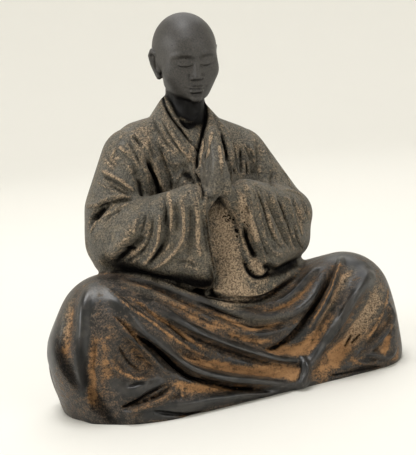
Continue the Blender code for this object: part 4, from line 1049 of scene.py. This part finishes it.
def linear(code):
    """An sRGB hex colour as linear values."""
    parts = [int(code[place:place + 2], 16) / 255 for place in (1, 3, 5)]
    return (*[c / 12.92 if c <= 0.04045 else ((c + 0.055) / 1.055) ** 2.4 for c in parts], 1)


def node(tree, kind, settings, inputs, output=0):
    """Add a node with its settings, and with its inputs set or linked, and give one of its outputs."""
    made = tree.nodes.new(kind)
    for name, value in settings.items():
        setattr(made, name, value)
    for place, value in inputs.items():
        if isinstance(value, bpy.types.NodeSocket):
            tree.links.new(value, made.inputs[place])
        else:
            made.inputs[place].default_value = value
    return made.outputs[output]


# Waxed cold-cast resin: black wax rubbed over an ochre-brown ground. To the eye the wax is charcoal with a satin
# sheen, the ground dull and dusty, and the edge between them broken into specks by the grain of the casting.
GRAIN_MM, SPECK_MM, MOTTLE_MM, CLOUD_MM = 0.28, 0.5, 2.0, 8.0
STREAK_MM, PIT_MM, ROUGH_MM = 1.2, 0.8, 0.45
MM = 0.001
wax = bpy.data.materials.new("waxed_cold_cast_resin")
wax.use_nodes = True
tree = wax.node_tree
shader = tree.nodes["Principled BSDF"]
shader.inputs["Coat Roughness"].default_value = 0.33
place = node(tree, "ShaderNodeTexCoord", {}, {}, "Object")
mark = {name: node(tree, "ShaderNodeAttribute", {"attribute_name": name}, {}, "Fac") for name in points_marks}
pattern = {name: node(tree, "ShaderNodeTexNoise", {}, {"Vector": place, "Scale": 1 / (size * MM), "Detail": detail,
                                                       "Roughness": 0.6})
           for name, size, detail in (("grain", GRAIN_MM, 2), ("speck", SPECK_MM, 3), ("mottle", MOTTLE_MM, 4),
                                      ("cloud", CLOUD_MM, 3))}
smooth = {"interpolation_type": "SMOOTHSTEP"}
mix = {"data_type": "RGBA"}
add, times, times_add = {"operation": "ADD"}, {"operation": "MULTIPLY"}, {"operation": "MULTIPLY_ADD"}
along = node(tree, "ShaderNodeMapping", {}, {"Vector": place, "Scale": (0.3, 1, 1)})
streak = node(tree, "ShaderNodeTexNoise", {}, {"Vector": along, "Scale": 1 / (STREAK_MM * MM), "Detail": 3})
pits = node(tree, "ShaderNodeTexNoise", {}, {"Vector": place, "Scale": 1 / (PIT_MM * MM), "Detail": 1})
# The patterns add up to blotches about zero, and a blotch shows the ground where the marks let it through.
blotch = -1.85
for source, share in ((pattern["mottle"], 0.8), (pattern["speck"], 0.9), (pattern["grain"], 0.6),
                      (pattern["cloud"], 0.4), (streak, 1.0)):
    blotch = node(tree, "ShaderNodeMath", times_add, {0: source, 1: share, 2: blotch})
spread = node(tree, "ShaderNodeMath", add, {0: mark["ochre"], 1: blotch})
spread = node(tree, "ShaderNodeMath", {"operation": "SUBTRACT"}, {0: spread, 1: mark["bare"]})
stained = node(tree, "ShaderNodeMapRange", smooth, {"Value": spread, "From Min": -0.15, "From Max": 0.55})
ground = node(tree, "ShaderNodeMapRange", smooth, {"Value": spread, "From Min": 0.25, "From Max": 1.05})
# The wax has its own colours: charcoal on the lap, greyer and grittier on the robe, smooth and dark on the head.
grit = node(tree, "ShaderNodeMath", add, {0: pattern["grain"], 1: pattern["speck"]})
grit = node(tree, "ShaderNodeMapRange", smooth, {"Value": grit, "From Min": 0.75, "From Max": 1.25})
patch = node(tree, "ShaderNodeMath", add, {0: pattern["mottle"], 1: pattern["cloud"]})
patch = node(tree, "ShaderNodeMapRange", smooth, {"Value": patch, "From Min": 0.8, "From Max": 1.2})
charcoal = node(tree, "ShaderNodeMix", mix, {"Factor": patch, "A": linear("#1a1a19"), "B": linear("#302d2a")}, 2)
dark_cloth = node(tree, "ShaderNodeMix", mix, {"Factor": grit, "A": linear("#302e29"), "B": linear("#6d685d")}, 2)
pale_cloth = node(tree, "ShaderNodeMix", mix, {"Factor": grit, "A": linear("#38342c"), "B": linear("#877d6c")}, 2)
cloth_wax = node(tree, "ShaderNodeMix", mix, {"Factor": patch, "A": dark_cloth, "B": pale_cloth}, 2)
charcoal = node(tree, "ShaderNodeMix", mix, {"Factor": mark["robe"], "A": charcoal, "B": cloth_wax}, 2)
head_wax = node(tree, "ShaderNodeMix", mix, {"Factor": grit, "A": linear("#2c2b29"), "B": linear("#433f3b")}, 2)
charcoal = node(tree, "ShaderNodeMix", mix, {"Factor": mark["bare"], "A": charcoal, "B": head_wax}, 2)
umber = node(tree, "ShaderNodeMix", mix, {"Factor": grit, "A": linear("#2c261f"), "B": linear("#6b5a49")}, 2)
umber = node(tree, "ShaderNodeMix", mix, {"Factor": mark["robe"], "A": umber, "B": cloth_wax}, 2)
# Under it lies the ground, brown in the lap and a paler dust on the robe.
tone = -0.65
for source, share in ((grit, 0.35), (pattern["mottle"], 1.2), (streak, 1.4)):
    tone = node(tree, "ShaderNodeMath", times_add, {0: source, 1: share, 2: tone})
brown = node(tree, "ShaderNodeMix", mix, {"Factor": tone, "A": linear("#523720"), "B": linear("#a87f56")}, 2)
dust = node(tree, "ShaderNodeMix", mix, {"Factor": grit, "A": linear("#5c4e40"), "B": linear("#bda68a")}, 2)
brown = node(tree, "ShaderNodeMix", mix, {"Factor": mark["robe"], "A": brown, "B": dust}, 2)
colour = node(tree, "ShaderNodeMix", mix, {"Factor": stained, "A": charcoal, "B": umber}, 2)
colour = node(tree, "ShaderNodeMix", mix, {"Factor": ground, "A": colour, "B": brown}, 2)
# Pits and the painted shade are black and without a shine.
pits = node(tree, "ShaderNodeMath", times_add, {0: mark["pitted"], 1: 0.24, 2: pits})
pitted = node(tree, "ShaderNodeMapRange", smooth, {"Value": pits, "From Min": 0.76, "From Max": 0.81})
pits_and_shade = node(tree, "ShaderNodeMath", {"operation": "MAXIMUM"}, {0: pitted, 1: mark["painted_shade"]})
colour = node(tree, "ShaderNodeMix", mix, {"Factor": pits_and_shade, "A": colour, "B": linear("#050404")}, 2)
tree.links.new(colour, shader.inputs["Base Color"])
dull = node(tree, "ShaderNodeMapRange", smooth, {"Value": spread, "From Min": 0.0, "From Max": 0.8, "To Min": 0.34,
                                                 "To Max": 0.8})
dull = node(tree, "ShaderNodeMath", times_add, {0: mark["robe"], 1: 0.14, 2: dull})
dull = node(tree, "ShaderNodeMath", times_add, {0: mark["bare"], 1: 0.16, 2: dull})
tree.links.new(dull, shader.inputs["Roughness"])
gloss = node(tree, "ShaderNodeMapRange", smooth, {"Value": pits_and_shade, "From Min": 0.0, "From Max": 0.7, "To Min": 0.35,
                                                  "To Max": 0.04})
gloss = node(tree, "ShaderNodeMath", times_add, {0: mark["bare"], 1: 0.12, 2: gloss})
tree.links.new(gloss, shader.inputs["Specular IOR Level"])
polish = node(tree, "ShaderNodeMath", times, {0: mark["wax"], 1: 0.42})
tree.links.new(polish, shader.inputs["Coat Weight"])
# The bare ground and the robe are rough to the touch, and the rubbed wax is nearly smooth.
rough = node(tree, "ShaderNodeMapRange", smooth, {"Value": spread, "From Min": 0.0, "From Max": 0.8, "To Min": 0.05,
                                                  "To Max": 1.0})
rough = node(tree, "ShaderNodeMath", times_add, {0: mark["robe"], 1: 0.45, 2: rough})
height = node(tree, "ShaderNodeMath", times_add, {0: pattern["grain"], 1: 0.5, 2: pattern["speck"]})
height = node(tree, "ShaderNodeMath", times, {0: height, 1: rough})
bump = node(tree, "ShaderNodeBump", {}, {"Strength": 0.8, "Distance": ROUGH_MM * MM, "Height": height}, "Normal")
tree.links.new(bump, shader.inputs["Normal"])
whole.materials.clear()
whole.materials.append(wax)

# The stand-in studio: a pale round cove of matt paper, so that the floor turns up into the backdrop without a seam,
# and four soft lights. Each light has its place in metres, its width in metres and its power in watts.
COVE_RADIUS, COVE_BEND, COVE_HEIGHT = 1.1, 0.45, 1.3
BEND_STEPS, COVE_STEPS = 8, 64
cove = bmesh.new()
profile = [cove.verts.new((0, 0, 0)), cove.verts.new((COVE_RADIUS - COVE_BEND, 0, 0))]
for step in range(1, BEND_STEPS + 1):
    angle = step / BEND_STEPS * pi / 2
    across = COVE_RADIUS - COVE_BEND + COVE_BEND * sin(angle)
    profile.append(cove.verts.new((across, 0, COVE_BEND * (1 - cos(angle)))))
profile.append(cove.verts.new((COVE_RADIUS, 0, COVE_HEIGHT)))
rails = [cove.edges.new(pair) for pair in zip(profile[:-1], profile[1:], strict=True)]
bmesh.ops.spin(cove, geom=profile + rails, cent=(0, 0, 0), axis=(0, 0, 1), angle=2 * pi, steps=COVE_STEPS,
               use_merge=True)
bmesh.ops.remove_doubles(cove, verts=cove.verts, dist=0.0001)
bmesh.ops.recalc_face_normals(cove, faces=cove.faces)
cove_mesh = bpy.data.meshes.new("cove")
cove.to_mesh(cove_mesh)
cove.free()
for face in cove_mesh.polygons:
    face.use_smooth = True
floor = bpy.data.objects.new("pale_floor", cove_mesh)
bpy.context.scene.collection.objects.link(floor)
paper = bpy.data.materials.new("matt_paper")
paper.use_nodes = True
surface = paper.node_tree.nodes["Principled BSDF"]
surface.inputs["Base Color"].default_value = linear("#e5e3dc")
surface.inputs["Roughness"].default_value = 0.9
surface.inputs["Specular IOR Level"].default_value = 0.1
cove_mesh.materials.append(paper)

CHEST = Vector((0, 0, 0.05))
LIGHTS = {
    "ceiling": ((-0.12, -0.08, 0.9), 0.34, 4.3),
    "window": ((-0.85, 0.0, 0.4), 0.35, 3.2),
    "room": ((0.45, -0.8, 0.35), 0.6, 2.4),
    "backdrop": ((0.2, 0.45, 0.9), 0.9, 3.9),
}
for name, (spot, size, power) in LIGHTS.items():
    lamp = bpy.data.lights.new(name, "AREA")
    lamp.size = size
    lamp.energy = power
    holder = bpy.data.objects.new(name, lamp)
    bpy.context.scene.collection.objects.link(holder)
    holder.location = spot
    holder.rotation_euler = (Vector(spot) - CHEST).to_track_quat("Z", "Y").to_euler()

world = bpy.data.worlds.new("room")
bpy.context.scene.world = world
world.use_nodes = True
world.node_tree.nodes["Background"].inputs["Color"].default_value = linear("#f4f2ee")
world.node_tree.nodes["Background"].inputs["Strength"].default_value = 0.3

# The camera stands where the picture was taken from. Its lens is worked out from the same focal length.
SENSOR = 36
lens = bpy.data.cameras.new("camera")
lens.sensor_width = SENSOR
lens.lens = FOCAL_PIXELS / PICTURE_HIGH * SENSOR
lens.clip_start = 0.01
lens.clip_end = 20
camera = bpy.data.objects.new("camera", lens)
bpy.context.scene.collection.objects.link(camera)
pose = Matrix((view_right, view_up, view_back)).transposed().to_4x4()
pose.translation = (view_eye + Vector((shift[0], shift[1], 0))) * UNIT
camera.matrix_world = pose
bpy.context.scene.camera = camera
bpy.context.scene.view_settings.view_transform = "Standard"
